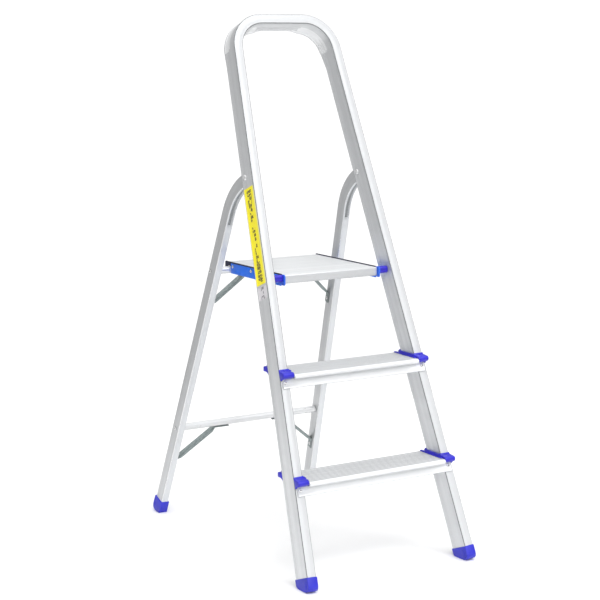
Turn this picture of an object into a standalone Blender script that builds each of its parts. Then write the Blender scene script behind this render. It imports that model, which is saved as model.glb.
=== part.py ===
"""Folding aluminium step ladder: hoop front frame with two treads and a platform, and a
hinged rear frame.  Metres, +Z up, the ladder faces -Y.  Origin: centre of the footprint on
the floor."""
import math

import bmesh
import bpy
from mathutils import Matrix, Vector

# ---------------------------------------------------------------- driving dimensions
FLOOR_SHIFT = 0.03585                   # moves the footprint's centre to y = 0

# front frame: a C channel bent into a hoop, leaning back
FRONT_LEAN = math.radians(21.65)        # from the vertical
FRONT_FOOT_Y = -0.4303 + FLOOR_SHIFT    # front face of the stiles at the floor
HOOP_HALF = 0.2371                      # outer half width at the floor line
HOOP_TAPER = 0.0645                     # half width lost per metre of slope
HOOP_SLOPE = 1.3987                     # slope length to the top of the hoop
HOOP_BEND = 0.0925                      # outer bend radius at the top
STILE_W, STILE_D, STILE_WALL = 0.0242, 0.0513, 0.0016
STILE_END = 0.0270                      # lower end of the channel, along the slope

# rear frame: two bent box tubes
REAR_LEAN = math.radians(18.85)
REAR_FOOT_Y = 0.3207 + FLOOR_SHIFT      # front face of the legs at the floor
REAR_HALF = 0.2412
LEG_W, LEG_D, LEG_WALL = 0.0196, 0.0330, 0.0015
LEG_END = 0.0070
LEG_BEND_START, LEG_BEND_R, LEG_BEND = 0.855, 0.150, math.radians(45)
PIVOT_S, PIVOT_D = 0.9953, 0.0369       # leg pivot, in the front frame
PIVOT_X = HOOP_HALF - HOOP_TAPER * PIVOT_S - STILE_W / 2
LEG_TIP = 0.0235                        # leg beyond its pivot

# treads
TREAD_S = (0.2450, 0.4955)              # slope position of the line under each nosing
TREAD_TOP = 0.0121                      # deck above that line
TREAD_REAR = 0.0866                     # rear edge behind that line
BUMPER_REAR = 0.0806                    # end of the caps' bumpers behind that line
NOSE = 0.0200                           # nosing in front of the stiles
SKIN = 0.0022
APRON_H, APRON_T = 0.0227, 0.0027       # riveted strip in front of the stiles
CAP_IN = 0.0286                         # width of a cap's front block
CAP_NOSE = 0.0185                       # block in front of the stiles

# platform
DECK_TOP = 0.6865
DECK_FRONT, DECK_REAR = -0.1465 + FLOOR_SHIFT, 0.1378 + FLOOR_SHIFT
DECK_HALF = 0.1332
DECK_SKIN = 0.0020
DECK_PIVOT_Y, DECK_PIVOT_Z = -0.1390 + FLOOR_SHIFT, 0.6785
BRACKET_T = 0.0022

# cross tubes and braces of the rear frame: slope position and depth behind the legs' front
TUBE_R, TUBE_WALL = 0.0090, 0.0012
TUBES = {"lower": (0.2495, 0.0170), "upper": (0.6975, 0.0243)}
BRACES = {"lower": (0.066, 0.108, 0.156, 0.126), "upper": (0.050, 0.089, 0.607, 0.577)}
BRACE_W, BRACE_T, BRACE_LIP = 0.0150, 0.0016, 0.0075

GAP = 0.0003
MERGE = 0.00001

# ---------------------------------------------------------------- start from an empty scene
for old in list(bpy.data.objects):
    bpy.data.objects.remove(old, do_unlink=True)

parts = bpy.data.collections.new("step_ladder")
cutters = bpy.data.collections.new("cutters")
for coll in (parts, cutters):
    bpy.context.scene.collection.children.link(coll)


def material(name, colour, roughness, metallic):
    mat = bpy.data.materials.new(name)
    mat.use_nodes = True
    shader = mat.node_tree.nodes["Principled BSDF"]
    shader.inputs["Base Color"].default_value = (*colour, 1.0)
    shader.inputs["Roughness"].default_value = roughness
    shader.inputs["Metallic"].default_value = metallic
    return mat


ALUMINIUM = material("mill_aluminium", (0.80, 0.81, 0.82), 0.42, 0.9)
BLUE = material("blue_plastic", (0.045, 0.05, 0.72), 0.42, 0.0)
AZURE = material("azure_paint", (0.02, 0.12, 0.70), 0.38, 0.1)
ZINC = material("zinc_steel", (0.60, 0.66, 0.68), 0.35, 0.9)
RIVET = material("rivet_metal", (0.70, 0.71, 0.72), 0.35, 0.9)
YELLOW = material("yellow_label", (0.92, 0.80, 0.03), 0.5, 0.0)
PALE = material("pale_label", (0.85, 0.84, 0.86), 0.5, 0.0)

# ---------------------------------------------------------------- frames
C, S = math.cos, math.sin


def frame_matrix(x_axis, y_axis, origin):
    x_axis, y_axis = Vector(x_axis).normalized(), Vector(y_axis).normalized()
    z_axis = x_axis.cross(y_axis)
    m = Matrix((x_axis, y_axis, z_axis)).transposed().to_4x4()
    m.translation = Vector(origin)
    return m


# front frame: local x = width, y = up the slope, z = forward out of the front face
FRONT = frame_matrix((1, 0, 0), (0, S(FRONT_LEAN), C(FRONT_LEAN)), (0, FRONT_FOOT_Y, 0))
# leg frame: local x = up the leg, y = back from its front face, z = -width
LEG = frame_matrix((0, -S(REAR_LEAN), C(REAR_LEAN)), (0, C(REAR_LEAN), S(REAR_LEAN)),
                   (0, REAR_FOOT_Y, 0))


def front(x, s, d):
    return FRONT @ Vector((x, s, -d))


def rear(x, s, e):
    return LEG @ Vector((s, e, -x))


def hoop_half(s):
    return HOOP_HALF - HOOP_TAPER * s


def stile_frame(side):
    """Along one stile: local x = outwards (right) , y = up the stile, z = forward."""
    foot = front(side * (HOOP_HALF - STILE_W / 2), 0, 0)
    up = (front(side * (hoop_half(1) - STILE_W / 2), 1, 0) - foot).normalized()
    fwd = FRONT.to_3x3() @ Vector((0, 0, 1))
    return frame_matrix(up.cross(fwd), up, foot)


PIVOT = front(0, PIVOT_S, PIVOT_D)
PIVOT_LEG = LEG.inverted() @ PIVOT          # its place in the leg frame

# ---------------------------------------------------------------- modelling helpers


def add(name, data, mat, matrix=None, coll=None):
    ob = bpy.data.objects.new(name, data)
    (coll or parts).objects.link(ob)
    if matrix is not None:
        ob.matrix_world = matrix
    if mat is not None:
        data.materials.clear()
        data.materials.append(mat)
    return ob


def as_cutter(ob):
    for coll in list(ob.users_collection):
        coll.objects.unlink(ob)
    cutters.objects.link(ob)
    ob.hide_render = True
    ob.display_type = "WIRE"
    return ob


def curve_to_mesh(ob):
    """Replace a curve object by its mesh, with its caps welded on."""
    bpy.context.view_layer.update()
    graph = bpy.context.evaluated_depsgraph_get()
    mesh = bpy.data.meshes.new_from_object(ob.evaluated_get(graph))
    bm = bmesh.new()
    bm.from_mesh(mesh)
    bmesh.ops.remove_doubles(bm, verts=bm.verts, dist=MERGE)
    bmesh.ops.recalc_face_normals(bm, faces=bm.faces)
    bm.to_mesh(mesh)
    bm.free()
    name, matrix = ob.name, ob.matrix_world.copy()
    coll = ob.users_collection[0]
    mats = [m for m in ob.data.materials]
    bpy.data.objects.remove(ob, do_unlink=True)
    mesh.name = name
    new = bpy.data.objects.new(name, mesh)
    coll.objects.link(new)
    new.matrix_world = matrix
    mesh.materials.clear()
    for m in mats:
        mesh.materials.append(m)
    return new


def outline(name, loops, thickness, mat, matrix, mid=0.0):
    """A flat outline in the local XY plane, extruded along local Z about z = mid."""
    data = bpy.data.curves.new(name, "CURVE")
    data.dimensions = "2D"
    data.fill_mode = "BOTH"
    data.extrude = thickness / 2
    for loop in loops:
        sp = data.splines.new("POLY")
        sp.points.add(len(loop) - 1)
        for p, (a, b) in zip(sp.points, loop):
            p.co = (a, b, 0, 1)
        sp.use_cyclic_u = True
    ob = add(name, data, mat, matrix @ Matrix.Translation((0, 0, mid)))
    return curve_to_mesh(ob)


def sweep(name, path, profile, mat, matrix, tilts=None):
    """A closed profile (across, along local Z) swept along a path in the local XY plane."""
    prof = bpy.data.curves.new(name + "_profile", "CURVE")
    prof.dimensions = "2D"
    sp = prof.splines.new("POLY")
    sp.points.add(len(profile) - 1)
    for p, (a, b) in zip(sp.points, profile):
        p.co = (a, b, 0, 1)
    sp.use_cyclic_u = True
    prof_ob = add(name + "_profile", prof, None, None, cutters)
    data = bpy.data.curves.new(name, "CURVE")
    data.dimensions = "3D"
    data.twist_mode = "Z_UP"
    data.bevel_mode = "OBJECT"
    data.bevel_object = prof_ob
    data.use_fill_caps = True
    sp = data.splines.new("POLY")
    sp.points.add(len(path) - 1)
    for i, (p, co) in enumerate(zip(sp.points, path)):
        p.co = (*co, 1)
        p.tilt = tilts[i] if tilts else 0.0
    ob = curve_to_mesh(add(name, data, mat, matrix))
    bpy.data.objects.remove(prof_ob, do_unlink=True)
    return ob


def turned(name, profile, steps, mat, matrix):
    """A profile of (radius, height) turned about local Z, top to bottom."""
    mesh = bpy.data.meshes.new(name)
    bm = bmesh.new()
    vs = [bm.verts.new((r, 0, z)) for r, z in profile]
    for a, b in zip(vs, vs[1:]):
        bm.edges.new((a, b))
    bm.to_mesh(mesh)
    bm.free()
    ob = add(name, mesh, mat, matrix)
    scr = ob.modifiers.new("Turn", "SCREW")
    scr.steps = scr.render_steps = steps
    scr.use_merge_vertices = True
    scr.merge_threshold = MERGE
    scr.use_normal_calculate = False
    return ob


def box(name, lo, hi, mat, matrix):
    """An axis-aligned box in the frame given by matrix."""
    mesh = bpy.data.meshes.new(name)
    bm = bmesh.new()
    bmesh.ops.create_cube(bm, size=1.0)
    size = [h - l for l, h in zip(lo, hi)]
    bmesh.ops.scale(bm, vec=size, verts=bm.verts)
    bmesh.ops.translate(bm, vec=[(h + l) / 2 for l, h in zip(lo, hi)], verts=bm.verts)
    bm.to_mesh(mesh)
    bm.free()
    return add(name, mesh, mat, matrix)


def rod(name, start, end, radius, sides=12):
    """A cutter: a cylinder from start to end, in world space."""
    start, end = Vector(start), Vector(end)
    mesh = bpy.data.meshes.new(name)
    bm = bmesh.new()
    bmesh.ops.create_cone(bm, cap_ends=True, segments=sides, radius1=radius, radius2=radius,
                          depth=(end - start).length)
    bm.to_mesh(mesh)
    bm.free()
    turn = Vector((0, 0, 1)).rotation_difference(end - start).to_matrix().to_4x4()
    ob = add(name, mesh, None, Matrix.Translation((start + end) / 2) @ turn)
    return as_cutter(ob)


def boolean(ob, operation, others):
    for i, other in enumerate(others):
        as_cutter(other)
        mod = ob.modifiers.new("%s_%d" % (operation.title(), i), "BOOLEAN")
        mod.operation = operation
        mod.solver = "EXACT"
        mod.object = other
    return ob


def cut(ob, *others):
    return boolean(ob, "DIFFERENCE", others)


def join(ob, *others):
    return boolean(ob, "UNION", others)


def fillet(points, radius, steps):
    """Round the inner corners of an open polyline of 2D points."""
    out = [Vector(points[0])]
    for a, b, c in zip(points, points[1:], points[2:]):
        a, b, c = Vector(a), Vector(b), Vector(c)
        u, v = (a - b).normalized(), (c - b).normalized()
        half = u.angle(v) / 2
        t = radius / math.tan(half)
        centre = b + (u + v).normalized() * (radius / math.sin(half))
        p, q = b + u * t - centre, b + v * t - centre
        sweep_angle = math.pi - 2 * half
        for i in range(steps + 1):
            f = i / steps
            w = (p * math.sin((1 - f) * sweep_angle) + q * math.sin(f * sweep_angle))
            out.append(centre + w / math.sin(sweep_angle))
    out.append(Vector(points[-1]))
    return out


def bezier(a, b, c, steps):
    """A quadratic curve from a to c, pulled towards b."""
    return [tuple(Vector(a) * (1 - f) ** 2 + Vector(b) * 2 * f * (1 - f) + Vector(c) * f * f)
            for f in [i / steps for i in range(steps + 1)]]


def rounded_rect(x0, y0, x1, y1, r, steps=3):
    out = []
    for cx, cy, start in ((x1 - r, y1 - r, 0), (x0 + r, y1 - r, 90),
                          (x0 + r, y0 + r, 180), (x1 - r, y0 + r, 270)):
        for i in range(steps + 1):
            a = math.radians(start + 90 * i / steps)
            out.append((cx + r * math.cos(a), cy + r * math.sin(a)))
    return out


def facing(point, direction):
    """A matrix at a world point whose local Z is the direction."""
    turn = Vector((0, 0, 1)).rotation_difference(Vector(direction)).to_matrix().to_4x4()
    return Matrix.Translation(point) @ turn


def rivet(name, point, outward, head_r, head_h, shank_r, length, mat=RIVET, steps=16):
    """A rivet whose head lies 0.3 mm off the surface at point; its shank goes in."""
    profile = [(0, head_h * 0.92), (head_r * 0.45, head_h), (head_r * 0.85, head_h * 0.6),
               (head_r, 0.0003), (head_r * 0.98, 0), (shank_r, 0), (shank_r, -length),
               (0, -length)]
    out = Vector(outward).normalized()
    return turned(name, profile, steps, mat, facing(Vector(point) + out * GAP, out))


# ---------------------------------------------------------------- front hoop
def hoop_path():
    a = HOOP_HALF - STILE_W / 2
    top = HOOP_SLOPE - STILE_W / 2
    pts = [(-(a - HOOP_TAPER * STILE_END), STILE_END), (-(a - HOOP_TAPER * top), top),
           (a - HOOP_TAPER * top, top), (a - HOOP_TAPER * STILE_END, STILE_END)]
    line = fillet(pts, HOOP_BEND - STILE_W / 2, 12)
    return [(p.x, p.y, 0) for p in line]


def channel(w, d, wall, chamfer=0.0014):
    """C section, web at the front (second coordinate 0), open to the back."""
    h = w / 2
    return [(-h, -d), (-h, -chamfer), (-h + chamfer, 0), (h - chamfer, 0), (h, -chamfer),
            (h, -d), (h - wall, -d), (h - wall, -wall), (-h + wall, -wall), (-h + wall, -d)]


hoop = sweep("front_hoop", hoop_path(), channel(STILE_W, STILE_D, STILE_WALL), ALUMINIUM, FRONT)

for side, tag in ((-1, "left"), (1, "right")):
    outer = PIVOT_X + STILE_W / 2
    y, z = PIVOT.y, PIVOT.z
    cut(hoop, rod("leg_pivot_bore_" + tag, (side * (outer + 0.01), y, z),
                  (side * (outer - STILE_W - 0.01), y, z), 0.0043))
    turned("leg_pivot_rivet_" + tag,
           [(0, STILE_W / 2 + 0.0030), (0.0045, STILE_W / 2 + 0.0027),
            (0.0070, STILE_W / 2 + 0.0016), (0.0070, STILE_W / 2 + 0.0008),
            (0.0040, STILE_W / 2 + 0.0008), (0.0040, -STILE_W / 2 - 0.0008),
            (0.0070, -STILE_W / 2 - 0.0008), (0.0070, -STILE_W / 2 - 0.0016),
            (0.0045, -STILE_W / 2 - 0.0027), (0, -STILE_W / 2 - 0.0030)],
           16, RIVET, facing((side * PIVOT_X, y, z), (side, 0, 0)))

# ---------------------------------------------------------------- treads with their caps
tread_names = ("tread_lower", "tread_middle")
slope = math.tan(FRONT_LEAN)
for index, (name, s_line) in enumerate(zip(tread_names, TREAD_S)):
    face = front(0, s_line, 0)              # stile front face at the line under the nosing
    out_half = hoop_half(s_line)
    in_half = out_half - STILE_W
    apron = out_half - 0.0035
    here = Matrix.Translation((0, face.y, face.z))
    # profile in (y, z), extruded along x
    YZ = here @ frame_matrix((0, 1, 0), (0, 0, 1), (0, 0, 0))
    T = TREAD_TOP
    back = TREAD_REAR - 0.0032
    off = 0.0032                            # apron's outer face in front of the stile
    ins = GAP / C(FRONT_LEAN)               # apron's inner face in front of the stile
    low = -APRON_H * C(FRONT_LEAN)
    nose = []
    for i in range(7):
        ang = math.radians(90 + 30 * i)
        nose.append((-NOSE + 0.0060 + 0.0062 * math.cos(ang), T / 2 + T / 2 * math.sin(ang)))
    ring = nose + [(-off, 0), (-off + slope * low, low), (-ins + slope * low, low),
                   (-ins, 0), (-ins + slope * (T - SKIN), T - SKIN)]
    for rib in (0.022, 0.046):
        ring += [(rib, T - SKIN), (rib, T - 0.0100), (rib + 0.0018, T - 0.0100),
                 (rib + 0.0018, T - SKIN)]
    ring += [(back - 0.0020, T - SKIN), (back - 0.0020, T - 0.0220), (back, T - 0.0220),
             (back, T)]
    hollow = [(-NOSE + 0.0035, 0.0030), (-0.0052, 0.0020), (-0.0052, T - SKIN),
              (-NOSE + 0.0050, T - SKIN)]
    tread = outline(name, [ring, hollow], 2 * apron, ALUMINIUM, YZ)
    for side, tag in ((-1, "left"), (1, "right")):
        sf = stile_frame(side)
        # room for the stile, the cap's end wall and the cap's front block
        cut(tread,
            box(name + "_stile_room_" + tag,
                ((-STILE_W / 2 - 0.0026) if side > 0 else -0.06, s_line - 0.10, -0.16),
                (0.06 if side > 0 else (STILE_W / 2 + 0.0026), s_line + 0.08, -GAP * 0.5),
                None, sf),
            box(name + "_block_room_" + tag,
                (out_half - CAP_IN - GAP if side > 0 else -0.26, -0.05, -0.0004),
                (0.26 if side > 0 else -(out_half - CAP_IN - GAP), 0.0, 0.05), None, here))
        # the slanted wedge behind the front block, above the line
        x0, x1 = sorted((side * (out_half - CAP_IN - GAP), side * (out_half + 0.03)))
        cut(tread, box(name + "_wedge_room_" + tag, (x0, s_line + 0.0002, 0.0 - 0.0002),
                       (x1, s_line + 0.05, 0.02), None, FRONT))

        # cap: front block, end wall, ledge, rear plate and bumper as one moulding
        cap_name = name.replace("tread", "tread_cap") + "_" + tag
        bx0, bx1 = sorted((side * (out_half - CAP_IN), side * (out_half + 0.0004)))
        top = T + 0.0095
        prof = [(-ins + slope * top, top), (0.0035, top - 0.0008), (-0.0010, T + 0.0068)]
        for i in range(8):
            ang = math.radians(80 + 25 * i)
            prof.append((-CAP_NOSE + 0.0068 + 0.0068 * math.cos(ang),
                         0.0103 + 0.0068 * math.sin(ang)))
        prof += [(-CAP_NOSE + 0.0105, 0.0016), (-CAP_NOSE + 0.0125, GAP), (-ins, GAP)]
        block = outline(cap_name, [prof], bx1 - bx0, BLUE,
                        YZ, (bx0 + bx1) / 2)
        # end wall follows the stile's inner face
        inner = -side * (STILE_W / 2 + GAP)
        wall_t = -side * 0.0020
        ex0, ex1 = sorted((inner, inner + wall_t))
        wall = box(cap_name + "_wall", (ex0, s_line - 0.004, -STILE_D - 0.0030),
                   (ex1, s_line + 0.0255, -0.0004), None, sf)
        lx0, lx1 = sorted((side * (in_half - 0.0026), side * (in_half - 0.0095)))
        ledge = box(cap_name + "_ledge", (lx0, -0.006, T + GAP),
                    (lx1, back - 0.0002, T + GAP + 0.0024), None, here)
        px0, px1 = sorted((inner + 0.8 * wall_t, side * (STILE_W / 2 - 0.0008)))
        plate_c = s_line + 0.0350
        plate = box(cap_name + "_plate", (px0, plate_c - 0.0120, -STILE_D - GAP - 0.0036),
                    (px1, plate_c + 0.0120, -STILE_D - GAP), None, sf)
        # the bumper points straight back
        kx0, kx1 = sorted((side * (out_half - 0.0226), side * (out_half - 0.0014)))
        root = (STILE_D + GAP + 0.0016) / C(FRONT_LEAN)
        knob = outline(cap_name + "_bumper",
                       [[(root + slope * 0.0056, 0.0056), (BUMPER_REAR - 0.0012, 0.0056),
                         (BUMPER_REAR, 0.0072), (BUMPER_REAR, 0.0162),
                         (BUMPER_REAR - 0.0012, 0.0178), (root + slope * 0.0178, 0.0178)]],
                       kx1 - kx0, None, YZ, (kx0 + kx1) / 2)
        join(block, wall, ledge, plate, knob)

        # rivet through the apron into the stile's web
        s_rivet = s_line - 0.0090
        at = front(side * (hoop_half(s_rivet) - 0.0123), s_rivet, -off * C(FRONT_LEAN) + 0.0001)
        out = FRONT.to_3x3() @ Vector((0, 0, 1))
        bore = rod(name + "_rivet_bore_" + tag, at + out * 0.004, at - out * 0.012, 0.0027, 10)
        cut(tread, bore)
        bore2 = rod(name + "_rivet_bore2_" + tag, at + out * 0.004, at - out * 0.012, 0.0027, 10)
        cut(hoop, bore2)
        rivet(name.replace("tread", "tread_rivet") + "_" + tag, at, out,
              0.0048, 0.0016, 0.0024, 0.0095, steps=12)

# ---------------------------------------------------------------- front feet
for side, tag in ((-1, "left"), (1, "right")):
    sf = stile_frame(side)
    side_view = sf @ frame_matrix((0, 0, -1), (0, 1, 0), (0, 0, 0))   # (d, s), z = +-x
    w, back = 0.0026, STILE_D + 0.0040

    def ground(d):
        return d * math.tan(FRONT_LEAN) - 0.0010
    shape = [(-w, 0.0400)] + bezier((-w, 0.0215), (-w, ground(-w)), (0.0360, ground(0.0360)), 10)
    shape += bezier((0.0450, ground(0.0450)), (back, ground(back)), (back, 0.0285), 4)
    shape += [(back, 0.0400)]
    foot = outline("front_foot_" + tag, [shape], STILE_W + 2 * 0.0013, BLUE, side_view)
    cut(foot,
        box("front_foot_pocket_" + tag, (-STILE_W / 2 - GAP, STILE_END - 0.0005, -STILE_D - GAP),
            (STILE_W / 2 + GAP, 0.10, GAP), None, sf),
        box("front_foot_floor_" + tag, (-0.4, -0.5, -0.05), (0.4, 0.5, 0.0), None,
            Matrix.Identity(4)))

# ---------------------------------------------------------------- rear legs
def leg_path():
    """Centre line in the leg frame (s, e) with its distance beyond the bend."""
    e0 = LEG_D / 2
    pts = [Vector((LEG_END, e0)), Vector((0.30, e0)), Vector((0.60, e0))]
    for i in range(13):
        a = LEG_BEND * i / 12
        pts.append(Vector((LEG_BEND_START + LEG_BEND_R * S(a),
                           e0 - LEG_BEND_R * (1 - C(a)))))
    end_dir = Vector((C(LEG_BEND), -S(LEG_BEND)))
    along = (Vector((PIVOT_LEG.x, PIVOT_LEG.y)) - pts[-1]).dot(end_dir)
    end = pts[-1]
    for t in (along * 0.5, along, along + LEG_TIP):
        pts.append(end + end_dir * t)
    return pts


def leg_width_place():
    """x of the centre line: it follows the channel near the pivot, then splays."""
    pts = leg_path()
    n = len(pts)
    dist = [0.0] * n                     # signed distance down from the pivot point
    k = n - 2
    for i in range(k - 1, -1, -1):
        dist[i] = dist[i + 1] + (pts[i] - pts[i + 1]).length
    dist[n - 1] = -(pts[n - 1] - pts[k]).length
    bend = 3                             # index of the bend's start
    xs = [0.0] * n
    near = 0.0144

    def follow(t):
        if t < 0:
            return PIVOT_X + 0.021 * t
        if t < near:
            return PIVOT_X + 0.5 * HOOP_TAPER * t
        return PIVOT_X + HOOP_TAPER * (t - 0.5 * near)

    for i in range(n):
        if i >= bend:
            xs[i] = follow(dist[i])
        else:
            x1 = follow(dist[bend])
            x0 = REAR_HALF - LEG_W / 2
            f = (pts[bend].x - pts[i].x) / (pts[bend].x)
            xs[i] = x1 + (x0 - x1) * f
    return pts, xs


LEG_PTS, LEG_XS = leg_width_place()


def leg_x(s):
    """Centre of a leg's width at slope position s, below the bend."""
    s1, x1 = LEG_PTS[3].x, LEG_XS[3]
    return x1 + (REAR_HALF - LEG_W / 2 - x1) * (s1 - s) / s1


legs = {}
for side, tag in ((-1, "left"), (1, "right")):
    path = [(p.x, p.y, -side * x) for p, x in zip(LEG_PTS, LEG_XS)]
    ends = [(path[0][0] - 0.02, path[0][1], path[0][2])] + path[1:-1]
    d = Vector(path[-1]) - Vector(path[-2])
    ends.append(tuple(Vector(path[-1]) + d))
    # the section turns in the bend, to lie square in the stile's channel
    turn = [side * math.atan(HOOP_TAPER) * min(1.0, max(0.0, (i - 3) / 12))
            for i in range(len(path))]
    leg = sweep("rear_leg_" + tag, path,
                rounded_rect(-LEG_D / 2, -LEG_W / 2, LEG_D / 2, LEG_W / 2, 0.0022, 1),
                ALUMINIUM, LEG, turn)
    bore = sweep("rear_leg_bore_" + tag, ends,
                 rounded_rect(-LEG_D / 2 + LEG_WALL, -LEG_W / 2 + LEG_WALL,
                              LEG_D / 2 - LEG_WALL, LEG_W / 2 - LEG_WALL, 0.0010, 1), None, LEG, turn)
    cut(leg, bore, rod("leg_hinge_bore_" + tag, (side * 0.12, PIVOT.y, PIVOT.z),
                       (side * 0.20, PIVOT.y, PIVOT.z), 0.0043))
    legs[side] = leg

    # foot
    foot_at = rear(side * leg_x(0), 0, 0)
    up = (rear(side * leg_x(0.5), 0.5, 0) - foot_at).normalized()
    back_dir = LEG.to_3x3() @ Vector((0, 1, 0))
    lf = frame_matrix(up.cross(-back_dir), up, foot_at)      # z = forward
    side_view = lf @ frame_matrix((0, 0, -1), (0, 1, 0), (0, 0, 0))
    w, back = 0.0022, LEG_D + 0.0050

    def ground(e):
        return -e * math.tan(REAR_LEAN) - 0.0010
    shape = [(-w, 0.0330)] + bezier((-w, 0.0035), (-w, ground(-w)), (0.0005, ground(0.0005)), 3)
    shape += bezier((0.0015, ground(0.0015)), (back, ground(back)), (back, 0.0100), 9)
    shape += [(LEG_D + 0.0040, 0.0330)]
    foot = outline("rear_foot_" + tag, [shape], LEG_W + 2 * w, BLUE, side_view)
    cut(foot,
        box("rear_foot_pocket_" + tag, (-LEG_W / 2 - GAP, LEG_END - 0.0004, -LEG_D - GAP),
            (LEG_W / 2 + GAP, 0.10, GAP), None, lf),
        box("rear_foot_floor_" + tag, (-0.4, -0.5, -0.05), (0.4, 0.5, 0.0), None,
            Matrix.Identity(4)))

# ---------------------------------------------------------------- cross tubes and braces
REAR_UP = LEG.to_3x3() @ Vector((1, 0, 0))
for level, (s_t, e_t) in TUBES.items():
    half = leg_x(s_t) - LEG_W / 2 - GAP - 0.0008
    centre = rear(0, s_t, e_t)
    tube = rod(level + "_cross_tube", centre - Vector((half, 0, 0)), centre + Vector((half, 0, 0)),
               TUBE_R, 20)
    cutters.objects.unlink(tube)
    parts.objects.link(tube)
    tube.hide_render, tube.display_type = False, "TEXTURED"
    tube.data.materials.append(ALUMINIUM)
    cut(tube, rod(level + "_tube_bore", centre - Vector((half + 0.01, 0, 0)),
                  centre + Vector((half + 0.01, 0, 0)), TUBE_R - TUBE_WALL, 20))
    xa, xb, s_b, s_e = BRACES[level]
    for side, tag in ((-1, "left"), (1, "right")):
        # rivet through the leg into the tube's end
        x_out = leg_x(s_t) + LEG_W / 2
        at = rear(side * x_out, s_t, e_t)
        cut(legs[side], rod("%s_tube_rivet_bore_%s" % (level, tag), at + Vector((side * 0.01, 0, 0)),
                            at - Vector((side * 0.03, 0, 0)), 0.0027, 10))
        rivet("%s_tube_rivet_%s" % (level, tag), at + Vector((side * 0.0004, 0, 0)), (side, 0, 0),
              0.0050, 0.0017, 0.0024, LEG_W + 0.0080, steps=12)

        # brace: strip profile in (x, s), bent into a tab, a slope and a tab
        s_tab = s_t - TUBE_R - GAP
        t = BRACE_T

        def face_x(s):
            return leg_x(s) - LEG_W / 2 - GAP
        strip = [(xa, s_tab), (xb, s_tab), (face_x(s_b), s_b), (face_x(s_e), s_e),
                 (face_x(s_e) - t, s_e), (face_x(s_b) - t, s_b - 0.0006),
                 (xb - 0.0004, s_tab - t), (xa, s_tab - t)]
        strip = [(side * x, s) for x, s in strip]
        # local (x, s) plane of the rear frame, z = forward (-e)
        xs = frame_matrix((1, 0, 0), REAR_UP, rear(0, 0, 0))
        name = "%s_brace_%s" % (level, tag)
        brace = outline(name, [strip], BRACE_W, ZINC, xs, -e_t)
        # two lips along the slope stiffen it
        p, q = Vector((xb, s_tab)), Vector((face_x(s_b), s_b))
        u = (q - p).normalized()
        n = Vector((u.y, -u.x)) if (Vector((u.y, -u.x)).x < 0) else Vector((-u.y, u.x))
        a, b = p + u * 0.004, q - u * 0.006
        lip = [a + n * 0.0004, b + n * 0.0004, b - u * 0.006 + n * BRACE_LIP,
               a + u * 0.006 + n * BRACE_LIP]
        lip = [(side * v.x, v.y) for v in lip]
        for k, e_lip in enumerate((e_t - BRACE_W / 2 + 0.0008, e_t + BRACE_W / 2 - 0.0008)):
            join(brace, outline("%s_lip_%d" % (name, k), [lip], 0.0014, None, xs, -e_lip))
        # rivets: one up into the tube, one into the leg
        xr = (xa + xb) / 2 - 0.004
        head = rear(side * xr, s_tab - t, e_t)
        up_bore = (head - REAR_UP * 0.004, head + REAR_UP * 0.008)
        cut(brace, rod(name + "_bore_a", *up_bore, 0.0025, 10))
        cut(tube, rod(name + "_bore_b", *up_bore, 0.0025, 10))
        rivet(name.replace("brace", "brace_tube_rivet"), head, -REAR_UP, 0.0045, 0.0015, 0.0022,
              0.0062, steps=12)
        sr = (s_b + s_e) / 2 - 0.003
        head = rear(side * (face_x(sr) - t), sr, e_t)
        inward = Vector((-side, 0, 0))
        leg_bore = (head + inward * 0.004, head - inward * 0.007)
        cut(brace, rod(name + "_bore_c", *leg_bore, 0.0025, 10))
        cut(legs[side], rod(name + "_bore_d", *leg_bore, 0.0025, 10))
        rivet(name.replace("brace", "brace_leg_rivet"), head + inward * 0.0002, inward, 0.0045, 0.0015, 0.0022,
              0.0058, steps=12)

# ---------------------------------------------------------------- platform
W0 = Matrix.Identity(4)
deck = box("platform_deck", (-DECK_HALF, DECK_FRONT, DECK_TOP - 0.0210),
           (DECK_HALF, DECK_REAR, DECK_TOP), ALUMINIUM, W0)
bev = deck.modifiers.new("Bevel", "BEVEL")
bev.width, bev.segments, bev.limit_method = 0.0030, 2, "ANGLE"
tube_c = rear(0, *TUBES["upper"])
cut(deck,
    box("deck_hollow", (-DECK_HALF + DECK_SKIN, DECK_FRONT + DECK_SKIN, DECK_TOP - 0.05),
        (DECK_HALF - DECK_SKIN, DECK_REAR - DECK_SKIN, DECK_TOP - DECK_SKIN), None, W0),
    box("deck_rear_room", (-0.2, tube_c.y - 0.030, DECK_TOP - 0.05),
        (0.2, DECK_REAR + 0.02, tube_c.z + TUBE_R + 0.0012), None, W0))
for i, (ya, yb) in enumerate(((-0.045, -0.043), (0.035, 0.037))):
    join(deck, box("deck_rib_%d" % i, (-DECK_HALF + 0.0012, ya + FLOOR_SHIFT, DECK_TOP - 0.0100),
                   (DECK_HALF - 0.0012, yb + FLOOR_SHIFT, DECK_TOP - 0.0012), None, W0))

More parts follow.
